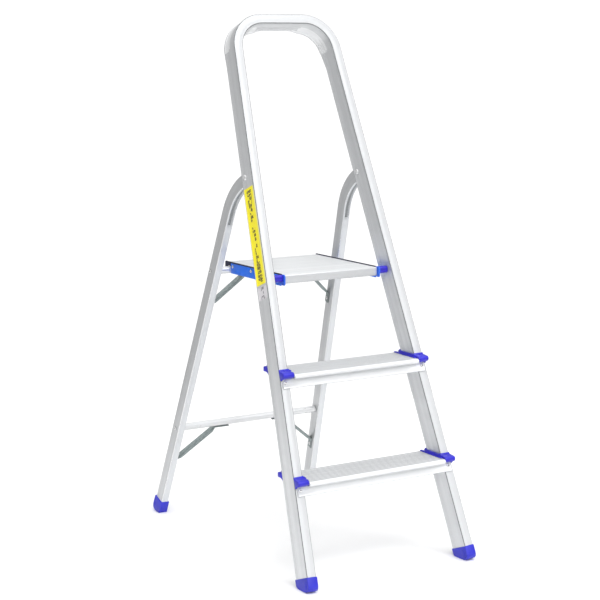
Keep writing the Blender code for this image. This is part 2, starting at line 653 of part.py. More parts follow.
# side brackets: YZ outline with a mouth that drops over the upper cross tube
YZ = frame_matrix((0, 1, 0), (0, 0, 1), (0, 0, 0))
mouth = tube_c.y - TUBE_R - 0.0008
tail = DECK_REAR + 0.0030
low, high = DECK_TOP - 0.0270, DECK_TOP - 0.0003
roof = tube_c.z + TUBE_R + 0.0007
shape = [(-0.1262 + FLOOR_SHIFT, low), (mouth - 0.0085, low), (mouth - 0.0075, low + 0.0010),
         (mouth, tube_c.z + 0.0030), (mouth + 0.0010, roof),
         (tube_c.y + TUBE_R + 0.0008, roof), (tube_c.y + TUBE_R + 0.0018, tube_c.z + 0.0050),
         (tail, tube_c.z + 0.0055), (tail, high - 0.003), (tail - 0.003, high),
         (-0.1262 + FLOOR_SHIFT, high)]
for side, tag in ((-1, "left"), (1, "right")):
    mid = side * (DECK_HALF + GAP + BRACKET_T / 2)
    bracket = outline("platform_bracket_" + tag, [shape], BRACKET_T, AZURE, YZ, mid)
    for k, yr in enumerate((0.1000, 0.0084)):
        pt = Vector((side * (DECK_HALF + GAP + BRACKET_T), yr + FLOOR_SHIFT, 0.6772))
        ends = (pt + Vector((side * 0.01, 0, 0)), pt - Vector((side * 0.012, 0, 0)))
        cut(bracket, rod("bracket_bore_%d_%s" % (k, tag), *ends, 0.0024, 10))
        cut(deck, rod("deck_bore_%d_%s" % (k, tag), *ends, 0.0024, 10))
        rivet("platform_rivet_%s_%s" % ("rear" if k == 0 else "front", tag), pt, (side, 0, 0),
              0.0040, 0.0014, 0.0020, 0.0080, steps=12)

    # pivot bush: a flange on the deck's front corner and a boss out to the stile
    x0 = DECK_HALF + GAP
    bush = outline("platform_pivot_bush_" + tag,
                   [rounded_rect(-0.1540 + FLOOR_SHIFT, DECK_TOP - 0.0245,
                                 -0.1268 + FLOOR_SHIFT, DECK_TOP + 0.0018, 0.0050, 3)],
                   0.0032, BLUE, YZ, side * (x0 + 0.0016))
    pv = Vector((0, DECK_PIVOT_Y, DECK_PIVOT_Z))
    s_p = (DECK_PIVOT_Z + 0.0180 * S(FRONT_LEAN)) / C(FRONT_LEAN)
    x_in = hoop_half(s_p) - STILE_W
    boss = rod("bush_boss_" + tag, pv + Vector((side * (x0 + 0.0010), 0, 0)),
               pv + Vector((side * (x_in - 0.0010), 0, 0)), 0.0090, 20)
    join(bush, boss)
    bore_ends = (pv + Vector((side * (x_in + 0.006), 0, 0)), pv + Vector((side * 0.115, 0, 0)))
    cut(bush, rod("bush_bore_" + tag, *bore_ends, 0.00365, 14))
    cut(deck, rod("deck_pivot_bore_" + tag, *bore_ends, 0.00365, 14))
    cut(hoop, rod("stile_pivot_bore_" + tag, *bore_ends, 0.00365, 14))
    # pin: its head is inside the stile's channel, its tail under the deck
    turned("platform_pivot_pin_" + tag,
           [(0, 0.0040), (0.0045, 0.0036), (0.0060, 0.0022), (0.0060, 0), (0.0033, 0),
            (0.0033, -(x_in + STILE_WALL + 0.0009 - 0.1200)),
            (0, -(x_in + STILE_WALL + 0.0009 - 0.1200))],
           14, RIVET, facing(pv + Vector((side * (x_in + STILE_WALL + 0.0009), 0, 0)),
                             (side, 0, 0)))

# ---------------------------------------------------------------- labels on the left stile
sf = stile_frame(-1)
for name, mat, s0, s1, d0, d1 in (("instruction_label", YELLOW, 0.7290, 0.9680, 0.0030, 0.0490),
                                  ("small_label", PALE, 0.6930, 0.7240, 0.0050, 0.0470)):
    box(name, (-STILE_W / 2 - GAP - 0.0003, s0, -d1), (-STILE_W / 2 - GAP, s1, -d0), mat, sf)

# ---------------------------------------------------------------- smooth shading by angle
for ob in parts.objects:
    ob.data.shade_smooth()
    ob.data.set_sharp_from_angle(angle=math.radians(35))
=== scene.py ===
"""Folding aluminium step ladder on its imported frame.  Metres, +Z up, the ladder faces -Y."""
import math

import bmesh
import bpy
from mathutils import Matrix, Vector, noise


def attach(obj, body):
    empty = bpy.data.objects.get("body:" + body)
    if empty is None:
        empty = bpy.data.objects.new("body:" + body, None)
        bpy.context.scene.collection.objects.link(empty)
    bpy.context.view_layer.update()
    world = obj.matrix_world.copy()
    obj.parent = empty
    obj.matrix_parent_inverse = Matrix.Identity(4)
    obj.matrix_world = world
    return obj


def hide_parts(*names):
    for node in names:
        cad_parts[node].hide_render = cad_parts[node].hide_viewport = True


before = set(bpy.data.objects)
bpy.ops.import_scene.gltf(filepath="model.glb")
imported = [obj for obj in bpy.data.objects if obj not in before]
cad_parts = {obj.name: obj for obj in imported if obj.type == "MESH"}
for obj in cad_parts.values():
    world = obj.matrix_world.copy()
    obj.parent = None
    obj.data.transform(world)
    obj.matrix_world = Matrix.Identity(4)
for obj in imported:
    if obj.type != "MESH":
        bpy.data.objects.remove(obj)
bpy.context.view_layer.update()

# ------------------------------------------------------------------ sizes, as in the solids
SHIFT = 0.03585
FRONT_LEAN = math.radians(21.65)
FRONT_FOOT_Y = -0.4303 + SHIFT
HOOP_HALF, HOOP_TAPER, HOOP_SLOPE, HOOP_BEND = 0.2371, 0.0645, 1.3987, 0.0925
STILE_W, STILE_D, STILE_WALL, STILE_END = 0.0242, 0.0513, 0.0016, 0.0270
REAR_LEAN = math.radians(18.85)
REAR_FOOT_Y = 0.3207 + SHIFT
REAR_HALF = 0.2412
LEG_W, LEG_D, LEG_WALL, LEG_END = 0.0196, 0.0330, 0.0015, 0.0070
LEG_BEND_START, LEG_BEND_R, LEG_BEND = 0.855, 0.150, math.radians(45)
PIVOT_S, PIVOT_D = 0.9953, 0.0369
PIVOT_X = HOOP_HALF - HOOP_TAPER * PIVOT_S - STILE_W / 2
LEG_TIP = 0.0235
TREADS = {"lower": 0.2450, "middle": 0.4955}
TREAD_TOP, TREAD_REAR, NOSE = 0.0121, 0.0866, 0.0200
APRON_H = 0.0227
CAP_IN, CAP_NOSE, BUMPER_REAR = 0.0286, 0.0185, 0.0806
DECK_TOP, DECK_HALF, DECK_SKIN = 0.6865, 0.1332, 0.0020
DECK_FRONT, DECK_REAR = -0.1465 + SHIFT, 0.1378 + SHIFT
DECK_PIVOT = Vector((0, -0.1390 + SHIFT, 0.6785))
BRACKET_T = 0.0022
TUBE_R = 0.0090
TUBES = {"lower": (0.2495, 0.0170), "upper": (0.6975, 0.0243)}
BRACES = {"lower": (0.066, 0.108, 0.156, 0.126), "upper": (0.050, 0.089, 0.607, 0.577)}
BRACE_W, BRACE_T, BRACE_LIP = 0.0150, 0.0016, 0.0075
GAP = 0.0003
SIDES = ((-1, "left"), (1, "right"))
C, S = math.cos, math.sin
SLOPE = math.tan(FRONT_LEAN)


def frame_matrix(x_axis, y_axis, origin):
    x_axis, y_axis = Vector(x_axis).normalized(), Vector(y_axis).normalized()
    m = Matrix((x_axis, y_axis, x_axis.cross(y_axis))).transposed().to_4x4()
    m.translation = Vector(origin)
    return m


FRONT = frame_matrix((1, 0, 0), (0, S(FRONT_LEAN), C(FRONT_LEAN)), (0, FRONT_FOOT_Y, 0))
LEG = frame_matrix((0, -S(REAR_LEAN), C(REAR_LEAN)), (0, C(REAR_LEAN), S(REAR_LEAN)),
                   (0, REAR_FOOT_Y, 0))
FORWARD = FRONT.to_3x3() @ Vector((0, 0, 1))      # out of the front frame's face
UP_FRONT = FRONT.to_3x3() @ Vector((0, 1, 0))
REAR_UP = LEG.to_3x3() @ Vector((1, 0, 0))
REAR_BACK = LEG.to_3x3() @ Vector((0, 1, 0))
X = Vector((1, 0, 0))


def front(x, s, d):
    return FRONT @ Vector((x, s, -d))


def rear(x, s, e):
    return LEG @ Vector((s, e, -x))


def hoop_half(s):
    return HOOP_HALF - HOOP_TAPER * s


def stile_frame(side):
    foot = front(side * (HOOP_HALF - STILE_W / 2), 0, 0)
    up = (front(side * (hoop_half(1) - STILE_W / 2), 1, 0) - foot).normalized()
    return frame_matrix(up.cross(FORWARD), up, foot)


PIVOT = front(0, PIVOT_S, PIVOT_D)
PIVOT_LEG = LEG.inverted() @ PIVOT


def smooth(a, b, t):
    t = min(1.0, max(0.0, (t - a) / (b - a)))
    return t * t * (3 - 2 * t)


# ------------------------------------------------------------------ mesh helpers
FLOW = "flow"       # corner coordinates in metres: across, across, along the drawn grain


def flow_layer(bm):
    return bm.loops.layers.float_vector.get(FLOW) or bm.loops.layers.float_vector.new(FLOW)


def loft(bm, rings, closed=True, caps=True, mat=0, along0=0.0):
    """Rings of equal length joined by quads."""
    layer = flow_layer(bm)
    vs = [[bm.verts.new(p) for p in ring] for ring in rings]
    n = len(rings[0])
    us = [0.0]
    for a, b in zip(rings[0], rings[0][1:] + rings[0][:1]):
        us.append(us[-1] + (Vector(b) - Vector(a)).length)
    mids = [sum((Vector(p) for p in ring), Vector()) / n for ring in rings]
    along = [along0]
    for a, b in zip(mids, mids[1:]):
        along.append(along[-1] + (b - a).length)
    for i in range(len(rings) - 1):
        for j in range(n if closed else n - 1):
            k = (j + 1) % n
            f = bm.faces.new((vs[i][j], vs[i][k], vs[i + 1][k], vs[i + 1][j]))
            f.material_index = mat
            for loop, u, v in zip(f.loops, (us[j], us[j + 1], us[j + 1], us[j]),
                                  (along[i], along[i], along[i + 1], along[i + 1])):
                loop[layer] = Vector((u, 0.0, v))
    if closed and caps:
        for ring, back in ((vs[0], True), (vs[-1], False)):
            f = bm.faces.new(list(reversed(ring)) if back else ring)
            f.material_index = mat
            for loop in f.loops:
                co = loop.vert.co
                loop[layer] = Vector((co.x, co.y, co.z * 0.2))
    return vs


def append(bm, other):
    """Adds a bmesh's faces to bm and frees it."""
    tmp = bpy.data.meshes.new("tmp")
    other.to_mesh(tmp)
    other.free()
    bm.from_mesh(tmp)
    bpy.data.meshes.remove(tmp)


def prism(loop, matrix, z0, z1, bevel=0.0, segments=2, mat=0, angle=28, bevel_ends=True):
    """An outline in the local XY plane, extruded between z0 and z1, with rounded edges."""
    bm = bmesh.new()
    flow_layer(bm)
    lo = [bm.verts.new((a, b, z0)) for a, b in loop]
    hi = [bm.verts.new((a, b, z1)) for a, b in loop]
    n = len(loop)
    bm.faces.new(lo)
    bm.faces.new(hi)
    for i in range(n):
        bm.faces.new((lo[i], lo[(i + 1) % n], hi[(i + 1) % n], hi[i]))
    bmesh.ops.recalc_face_normals(bm, faces=bm.faces)
    if bevel:
        edges = [e for e in bm.edges if e.calc_face_angle(0) > math.radians(angle)
                 and (bevel_ends or abs(e.verts[0].co.z - e.verts[1].co.z) > 1e-7)]
        bmesh.ops.bevel(bm, geom=edges, offset=bevel, offset_type="OFFSET", segments=segments,
                        profile=0.5, affect="EDGES", clamp_overlap=True)
    bmesh.ops.transform(bm, matrix=matrix, verts=bm.verts)
    for f in bm.faces:
        f.material_index = mat
    return bm


def block(lo, hi, matrix, bevel=0.0, segments=2, mat=0):
    return prism([(lo[0], lo[1]), (hi[0], lo[1]), (hi[0], hi[1]), (lo[0], hi[1])], matrix,
                 lo[2], hi[2], bevel, segments, mat)


def turned(profile, matrix, steps=32, mats=None):
    """(radius, height) from the axis round to the axis, turned about local Z."""
    bm = bmesh.new()
    flow_layer(bm)
    rings = []
    for r, z in profile:
        if r < 1e-9:
            rings.append([bm.verts.new((0, 0, z))])
        else:
            rings.append([bm.verts.new((r * C(2 * math.pi * i / steps),
                                        r * S(2 * math.pi * i / steps), z))
                          for i in range(steps)])
    for k, (a, b) in enumerate(zip(rings, rings[1:])):
        for i in range(steps):
            j = (i + 1) % steps
            loop = [a[i % len(a)], a[j % len(a)], b[j % len(b)], b[i % len(b)]]
            out = []
            for v in loop:
                if v not in out:
                    out.append(v)
            f = bm.faces.new(out)
            f.material_index = mats[k] if mats else 0
    bmesh.ops.recalc_face_normals(bm, faces=bm.faces)
    bmesh.ops.transform(bm, matrix=matrix, verts=bm.verts)
    return bm


def facing(point, direction):
    turn = Vector((0, 0, 1)).rotation_difference(Vector(direction)).to_matrix().to_4x4()
    return Matrix.Translation(point) @ turn


def grain(bm, along, faces=None):
    """Writes the flow for a straight-drawn piece from its own coordinates."""
    layer = flow_layer(bm)
    along = Vector(along).normalized()
    a = along.orthogonal().normalized()
    b = along.cross(a)
    for f in faces or bm.faces:
        for loop in f.loops:
            co = loop.vert.co
            loop[layer] = Vector((co.dot(a), co.dot(b), co.dot(along)))


def to_object(name, bm, coll=None):
    me = bpy.data.meshes.new(name)
    bm.to_mesh(me)
    bm.free()
    ob = bpy.data.objects.new(name, me)
    (coll or bpy.context.scene.collection).objects.link(ob)
    return ob


def combine(base, others, operation="UNION"):
    """An exact Boolean of bmeshes, as a new bmesh.  All of them are freed."""
    coll = bpy.data.collections.new("tools")
    bpy.context.scene.collection.children.link(coll)
    ob = to_object("base", base, coll)
    tools = [to_object("tool", o, coll) for o in others]
    for t in tools:
        mod = ob.modifiers.new("cut", "BOOLEAN")
        mod.operation, mod.solver, mod.object = operation, "EXACT", t
    bpy.context.view_layer.update()
    graph = bpy.context.evaluated_depsgraph_get()
    me = bpy.data.meshes.new_from_object(ob.evaluated_get(graph))
    out = bmesh.new()
    out.from_mesh(me)
    bpy.data.meshes.remove(me)
    for o in [ob] + tools:
        data = o.data
        bpy.data.objects.remove(o, do_unlink=True)
        bpy.data.meshes.remove(data)
    bpy.data.collections.remove(coll)
    return out


def cut(base, *others):
    return combine(base, others, "DIFFERENCE")


def merge(base, *others):
    return combine(base, others, "UNION")


PLACED = []


def place(name, bm, mats, body, nodes, sharp=32, weld=1e-6, recalc=False):
    """The finished piece: shaded, on its body, in place of its CAD nodes."""
    if weld:
        bmesh.ops.remove_doubles(bm, verts=bm.verts, dist=weld)
    if recalc:
        bmesh.ops.recalc_face_normals(bm, faces=bm.faces)
    ob = to_object(name, bm)
    for m in mats if isinstance(mats, (list, tuple)) else [mats]:
        ob.data.materials.append(m)
    ob.data.shade_smooth()
    ob.data.set_sharp_from_angle(angle=math.radians(sharp))
    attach(ob, body)
    if nodes:
        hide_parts(*([nodes] if isinstance(nodes, str) else nodes))
    PLACED.append(ob)
    return ob


def bezier(a, b, c, steps):
    return [tuple(Vector(a) * (1 - f) ** 2 + Vector(b) * 2 * f * (1 - f) + Vector(c) * f * f)
            for f in [i / steps for i in range(steps + 1)]]


def arc(cx, cy, r, a0, a1, steps):
    return [(cx + r * C(math.radians(a0 + (a1 - a0) * i / steps)),
             cy + r * S(math.radians(a0 + (a1 - a0) * i / steps))) for i in range(steps + 1)]


def round_rect(x0, y0, x1, y1, r, steps=4):
    return (arc(x1 - r, y1 - r, r, 0, 90, steps) + arc(x0 + r, y1 - r, r, 90, 180, steps)
            + arc(x0 + r, y0 + r, r, 180, 270, steps) + arc(x1 - r, y0 + r, r, 270, 360, steps))

# ------------------------------------------------------------------ materials


class Tree:
    """Short hand for building a node tree."""

    def __init__(self, name):
        self.mat = bpy.data.materials.new(name)
        self.mat.use_nodes = True
        self.nt = self.mat.node_tree
        self.shader = self.nt.nodes["Principled BSDF"]

    def node(self, kind, ins=None, **props):
        n = self.nt.nodes.new("ShaderNode" + kind)
        for k, v in props.items():
            setattr(n, k, v)
        for k, v in (ins or {}).items():
            self.put(n.inputs[k], v)
        return n

    def put(self, socket, v):
        if isinstance(v, bpy.types.NodeSocket):
            self.nt.links.new(v, socket)
        else:
            socket.default_value = v

    def flow(self, sx, sy, sz):
        """The piece's drawn-grain coordinates, scaled."""
        a = self.node("Attribute", attribute_name=FLOW)
        return self.node("Mapping", {"Vector": a.outputs["Vector"],
                                     "Scale": (sx, sy, sz)}).outputs[0]

    def own(self, scale=(1, 1, 1)):
        a = self.node("TexCoord")
        return self.node("Mapping", {"Vector": a.outputs["Object"], "Scale": scale}).outputs[0]

    def noise(self, vector, scale=1.0, detail=2.0, rough=0.5, distortion=0.0, out="Fac"):
        return self.node("TexNoise", {"Vector": vector, "Scale": scale, "Detail": detail,
                                      "Roughness": rough, "Distortion": distortion}).outputs[out]

    def ramp(self, value, lo, hi, to_lo=0.0, to_hi=1.0):
        return self.node("MapRange", {"Value": value, "From Min": lo, "From Max": hi,
                                      "To Min": to_lo, "To Max": to_hi}, clamp=True).outputs[0]

    def math(self, op, a, b=0.0, clamp=False):
        n = self.node("Math", operation=op, use_clamp=clamp)
        self.put(n.inputs[0], a)
        self.put(n.inputs[1], b)
        return n.outputs[0]

    def mix(self, fac, a, b, blend="MIX"):
        n = self.node("Mix", data_type="RGBA", blend_type=blend)
        self.put(n.inputs[0], fac)
        self.put(n.inputs[6], a if isinstance(a, bpy.types.NodeSocket) else (*a, 1.0))
        self.put(n.inputs[7], b if isinstance(b, bpy.types.NodeSocket) else (*b, 1.0))
        return n.outputs[2]

    def edges(self, radius, lo=0.02, hi=0.25):
        """1 on convex and concave edges, 0 on flats."""
        bev = self.node("Bevel", {"Radius": radius}, samples=4).outputs[0]
        geo = self.node("NewGeometry").outputs["Normal"]
        dot = self.node("VectorMath", {0: bev, 1: geo}, operation="DOT_PRODUCT").outputs["Value"]
        return self.ramp(self.math("SUBTRACT", 1.0, dot), lo, hi)

    def bump(self, height, strength, distance, normal=None):
        ins = {"Height": height, "Strength": strength, "Distance": distance}
        if normal is not None:
            ins["Normal"] = normal
        return self.node("Bump", ins).outputs[0]

    def set(self, **sockets):
        for k, v in sockets.items():
            self.put(self.shader.inputs[k.replace("_", " ")], v)
        return self.mat


def aluminium(name, tone, rough, metallic, lines=1.0, marks=1.0, edge_shade=0.72):
    """Extruded or rolled mill finish: draw lines along the grain, faint handling marks."""
    t = Tree(name)
    fine = t.noise(t.flow(2600, 2600, 9), 1.0, 3.0, 0.6)
    mid = t.noise(t.flow(420, 420, 2.2), 1.0, 3.0, 0.55)
    broad = t.noise(t.flow(70, 70, 0.9), 1.0, 2.0, 0.5)
    cloud = t.noise(t.own(), 11.0, 4.0, 0.6, 0.4)
    spots = t.noise(t.own(), 260.0, 2.0, 0.5)
    scratch = t.ramp(t.noise(t.flow(800, 800, 30), 1.0, 1.0, 0.4, 0.25), 0.69, 0.76)
    dark = tuple(c * 0.885 for c in tone)
    light = tuple(min(1.0, c * 1.065) for c in tone)
    c1 = t.mix(t.ramp(broad, 0.3, 0.7), dark, light)
    c2 = t.mix(t.math("MULTIPLY", t.ramp(mid, 0.35, 0.7), 0.45), c1, light)
    c3 = t.mix(t.math("MULTIPLY", t.ramp(cloud, 0.48, 0.72), 0.35 * marks), c2,
               tuple(c * 0.86 for c in tone))
    c4 = t.mix(t.math("MULTIPLY", scratch, 0.30 * marks), c3, tuple(c * 0.72 for c in tone))
    r1 = t.ramp(mid, 0.25, 0.75, rough - 0.07, rough + 0.07)
    r2 = t.math("ADD", r1, t.ramp(cloud, 0.35, 0.7, -0.04, 0.09))
    r3 = t.math("ADD", r2, t.ramp(spots, 0.4, 0.7, -0.02, 0.03))
    h = t.math("ADD", t.math("MULTIPLY", fine, 0.5), t.math("MULTIPLY", mid, 0.9))
    h = t.math("SUBTRACT", h, t.math("MULTIPLY", scratch, 0.8))
    # painted shade: a dark band is laid along arrises and into inside corners
    edge_shade_mask = t.math("MULTIPLY", t.edges(0.0026, 0.008, 0.075), t.ramp(cloud, 0.15, 0.5, 0.62, 1.0))
    c5 = t.mix(t.math("MULTIPLY", edge_shade_mask, edge_shade), c4, (0.15, 0.16, 0.165))
    n = t.bump(h, 0.22 * lines, 0.0004)
    n = t.bump(spots, 0.05, 0.0003, n)
    return t.set(Base_Color=c5, Roughness=r3, Metallic=metallic, Normal=n)


def plastic(name, tone, rough, wear):
    """Injection-moulded polypropylene: fine spark texture, scuffed paler edges."""
    t = Tree(name)
    own = t.own()
    cloud = t.noise(own, 24.0, 4.0, 0.6, 0.3)
    texture = t.noise(own, 1900.0, 3.0, 0.6)
    flecks = t.node("TexVoronoi", {"Vector": own, "Scale": 1100.0, "Randomness": 1.0},
                    feature="F1").outputs["Distance"]
    scuff = t.ramp(t.noise(t.own((1, 1, 0.35)), 330.0, 5.0, 0.65, 0.5), 0.56, 0.72)
    edge = t.math("MULTIPLY", t.edges(0.0011, 0.01, 0.22), t.ramp(cloud, 0.32, 0.62))
    c1 = t.mix(t.ramp(cloud, 0.3, 0.7), tuple(c * 0.84 for c in tone),
               tuple(min(1.0, c * 1.12) for c in tone))
    c2 = t.mix(t.math("MULTIPLY", scuff, 0.16), c1, wear)
    c3 = t.mix(t.math("MULTIPLY", edge, 0.42), c2, wear)
    r = t.math("ADD", t.ramp(cloud, 0.3, 0.7, rough - 0.06, rough + 0.07),
               t.math("MULTIPLY", scuff, 0.10))
    n = t.bump(texture, 0.16, 0.0003)
    n = t.bump(flecks, 0.08, 0.0003, n)
    return t.set(Base_Color=c3, Roughness=r, Metallic=0.0, Normal=n)


def paint(name, tone, rough, bare):
    """Powder-coated strip: orange peel, chipped corners."""
    t = Tree(name)
    own = t.own()
    peel = t.noise(own, 620.0, 2.0, 0.5)
    cloud = t.noise(own, 30.0, 3.0, 0.55)
    chips = t.ramp(t.noise(own, 420.0, 4.0, 0.7, 0.6), 0.60, 0.66)
    worn = t.math("MULTIPLY", t.edges(0.0008, 0.02, 0.2), chips)
    drag = t.ramp(t.noise(t.flow(500, 500, 14), 1.0, 3.0, 0.6), 0.58, 0.75)
    c1 = t.mix(t.ramp(cloud, 0.3, 0.7), tuple(c * 0.86 for c in tone),
               tuple(min(1.0, c * 1.10) for c in tone))
    c2 = t.mix(t.math("MULTIPLY", drag, 0.18), c1, tuple(min(1.0, c * 1.5 + 0.05) for c in tone))
    c3 = t.mix(worn, c2, bare)
    r = t.math("ADD", t.ramp(cloud, 0.3, 0.7, rough - 0.05, rough + 0.06),
               t.math("MULTIPLY", drag, 0.12))
    n = t.bump(peel, 0.14, 0.0005)
    n = t.bump(worn, 0.5, -0.0002, n)
    return t.set(Base_Color=c3, Roughness=r, Metallic=t.math("MULTIPLY", worn, 0.9), Normal=n)


def zinc(name, tone, rough):
    """Bright zinc plate on pressed strip: soft spangle, rolled lines, dulled spots."""
    t = Tree(name)
    own = t.own()
    spangle = t.node("TexVoronoi", {"Vector": own, "Scale": 210.0, "Randomness": 1.0},
                     feature="F1").outputs["Color"]
    cell = t.node("SeparateColor", {0: spangle}).outputs[0]
    lines = t.noise(t.flow(1300, 1300, 12), 1.0, 3.0, 0.6)
    dull = t.noise(own, 60.0, 4.0, 0.6, 0.5)
    c1 = t.mix(cell, tuple(c * 0.84 for c in tone), tuple(min(1.0, c * 1.12) for c in tone))
    c2 = t.mix(t.math("MULTIPLY", t.ramp(dull, 0.5, 0.75), 0.5), c1,
               (tone[0] * 0.62, tone[1] * 0.68, tone[2] * 0.70))
    r = t.math("ADD", t.ramp(lines, 0.3, 0.7, rough - 0.06, rough + 0.08),
               t.ramp(dull, 0.5, 0.75, 0.0, 0.14))
    n = t.bump(lines, 0.16, 0.0003)
    n = t.bump(cell, 0.04, 0.0003, n)
    return t.set(Base_Color=c2, Roughness=r, Metallic=0.78, Normal=n)


def set_rivet(name, tone, rough, metallic):
    """A formed head: turned rings from the setting tool and small dents."""
    t = Tree(name)
    own = t.own()
    dents = t.noise(own, 700.0, 3.0, 0.6)
    stain = t.noise(own, 190.0, 3.0, 0.6, 0.4)
    c = t.mix(t.ramp(stain, 0.35, 0.7), tuple(min(1.0, v * 1.06) for v in tone),
              tuple(v * 0.74 for v in tone))
    r = t.ramp(dents, 0.3, 0.7, rough - 0.08, rough + 0.12)
    return t.set(Base_Color=c, Roughness=r, Metallic=metallic,
                 Normal=t.bump(dents, 0.22, 0.0003))


def sticker(name, ground, ink, width, height, cell_u, cell_v, threshold, strength, painted_glow):
    """Printed vinyl: a column of abstract strokes, pale margins, a scuffed film."""
    t = Tree(name)
    flow = t.node("Attribute", attribute_name=FLOW).outputs["Vector"]
    sep = t.node("SeparateXYZ", {0: flow})
    u, v = sep.outputs[0], sep.outputs[2]
    # the strokes wander, so the cells are warped a little
    warp = t.node("SeparateColor", {0: t.noise(t.own(), 170.0, 2.0, 0.5, 0.0, "Color")})
    wu = t.math("ADD", u, t.ramp(warp.outputs[0], 0.25, 0.75, -0.0030, 0.0030))
    wv = t.math("ADD", v, t.ramp(warp.outputs[1], 0.25, 0.75, -0.0034, 0.0034))
    cu, cv = t.math("DIVIDE", wu, cell_u), t.math("DIVIDE", wv, cell_v)
    # a stroke of its own length and place in each cell of the grid
    cell = t.node("CombineXYZ", {0: t.math("FLOOR", cu), 1: t.math("FLOOR", cv)}).outputs[0]
    rnd = t.node("TexWhiteNoise", {"Vector": cell}, noise_dimensions="3D")
    col = t.node("SeparateColor", {0: rnd.outputs["Color"]})
    fu = t.math("ABSOLUTE", t.math("SUBTRACT", t.math("FRACT", cu), 0.5))
    fv = t.math("ABSOLUTE", t.math("SUBTRACT", t.math("FRACT", cv), 0.5))
    wide = t.ramp(col.outputs[0], 0.0, 1.0, 0.34, 0.52)
    tall = t.ramp(col.outputs[1], 0.0, 1.0, 0.28, 0.52)
    inside = t.math("MULTIPLY", t.math("LESS_THAN", fu, wide), t.math("LESS_THAN", fv, tall))
    # marks crowd towards both ends of the column
    off = t.math("ABSOLUTE", t.math("SUBTRACT", t.math("DIVIDE", v, height), 0.5))
    ends = t.ramp(off, 0.24, 0.40)
    shown = t.math("GREATER_THAN", t.math("ADD", col.outputs[2],
                                          t.math("MULTIPLY", ends, 0.30)), threshold)
    mid_u = t.math("ABSOLUTE", t.math("SUBTRACT", t.math("DIVIDE", u, width), 0.52))
    column = t.math("LESS_THAN", mid_u, t.ramp(ends, 0.0, 1.0, 0.15, 0.23))
    inset = t.math("LESS_THAN", off, 0.475)
    ragged = t.math("GREATER_THAN", t.noise(t.own(), 600.0, 2.0, 0.5), 0.29)
    mark = inside
    for f in (shown, column, inset, ragged):
        mark = t.math("MULTIPLY", mark, f)
    border = t.ramp(mid_u, 0.40, 0.45, 0.0, 0.55)
    film = t.noise(t.own(), 70.0, 4.0, 0.6, 0.3)
    fibre = t.noise(t.own(), 1500.0, 2.0, 0.5)
    worn = t.ramp(t.noise(t.own(), 230.0, 5.0, 0.7, 0.5), 0.60, 0.70)
    base = t.mix(t.ramp(film, 0.3, 0.7), tuple(c * 0.93 for c in ground), ground)
    base = t.mix(t.math("MULTIPLY", worn, 0.25), base,
                 tuple(min(1.0, c * 0.8 + 0.18) for c in ground))
    base = t.mix(border, base, tuple(min(1.0, c * 0.55 + 0.42) for c in ground))
    c = t.mix(t.math("MULTIPLY", mark, strength), base, ink)
    r = t.math("ADD", t.ramp(film, 0.3, 0.7, 0.34, 0.48), t.math("MULTIPLY", worn, 0.15))
    n = t.bump(fibre, 0.06, 0.0003)
    n = t.bump(mark, 0.12, 0.00005, n)
    # painted light: the film glows faintly in its ground colour
    t.shader.inputs["Emission Color"].default_value = (*ground, 1.0)
    t.shader.inputs["Emission Strength"].default_value = painted_glow
    return t.set(Base_Color=c, Roughness=r, Metallic=0.0, Normal=n)


ALU = aluminium("hoop_mill_aluminium", (0.690, 0.702, 0.716), 0.40, 0.46)
ALU_WEB_SHADED = aluminium("hoop_web_painted_shade", (0.640, 0.652, 0.666), 0.42, 0.44)
ALU_FRONT_SHADED = aluminium("tread_front_painted_shade", (0.775, 0.787, 0.800), 0.42, 0.40, 1.0, 1.0, 0.6)
ALU_LEG_SIDE_SHADED = aluminium("leg_side_painted_shade", (0.580, 0.590, 0.600), 0.40, 0.46)
VALLEY_SHADE = aluminium("valley_painted_shade", (0.36, 0.37, 0.38), 0.46, 0.35, 1.0, 1.0, 0.2)
PAINTED_HIGHLIGHT_ALU = aluminium("painted_highlight_aluminium", (0.90, 0.91, 0.92), 0.32, 0.30, 0.5, 0.3)
EDGE_SHADE_ALU = aluminium("edge_shade_aluminium", (0.17, 0.18, 0.185), 0.40, 0.46, 0.8, 1.0)
GROOVE_SHADE = aluminium("groove_painted_shade", (0.28, 0.295, 0.305), 0.42, 0.45, 0.8, 1.0)
ALU_LEG = aluminium("leg_drawn_tube", (0.705, 0.722, 0.742), 0.38, 0.48)
ALU_TREAD = aluminium("tread_extrusion", (0.82, 0.83, 0.84), 0.42, 0.32, 1.0, 0.9, 0.30)
ALU_DECK = aluminium("platform_sheet", (0.755, 0.770, 0.782), 0.44, 0.28, 0.6, 0.6)
ALU_TUBE = aluminium("cross_tube", (0.76, 0.77, 0.78), 0.34, 0.48)
BLUE = plastic("cap_moulding", (0.020, 0.016, 0.50), 0.38, (0.09, 0.09, 0.68))
BLUE_FOOT = plastic("foot_moulding", (0.022, 0.024, 0.50), 0.44, (0.11, 0.12, 0.68))
BLUE_BUSH = plastic("bush_moulding", (0.034, 0.024, 0.50), 0.34, (0.14, 0.13, 0.78))
AZURE = paint("bracket_paint", (0.010, 0.170, 0.92), 0.36, (0.45, 0.46, 0.48))
AZURE_PLASTIC = plastic("flange_moulding", (0.022, 0.130, 0.76), 0.36, (0.12, 0.26, 0.84))
NAVY_SHADE = plastic("hook_moulding_painted_shade", (0.004, 0.006, 0.045), 0.45, (0.02, 0.025, 0.10))
ZINC = zinc("brace_zinc", (0.27, 0.31, 0.31), 0.36)
RIVET = set_rivet("rivet_head", (0.88, 0.885, 0.89), 0.34, 0.55)
MANDREL_AND_SHADE = set_rivet("rivet_core_and_rim_shade", (0.045, 0.045, 0.05), 0.50, 0.6)
YELLOW = sticker("yellow_sticker", (0.98, 0.86, 0.020), (0.012, 0.012, 0.012), 0.046, 0.239,
                 0.0086, 0.0090, 0.40, 0.99, 0.10)
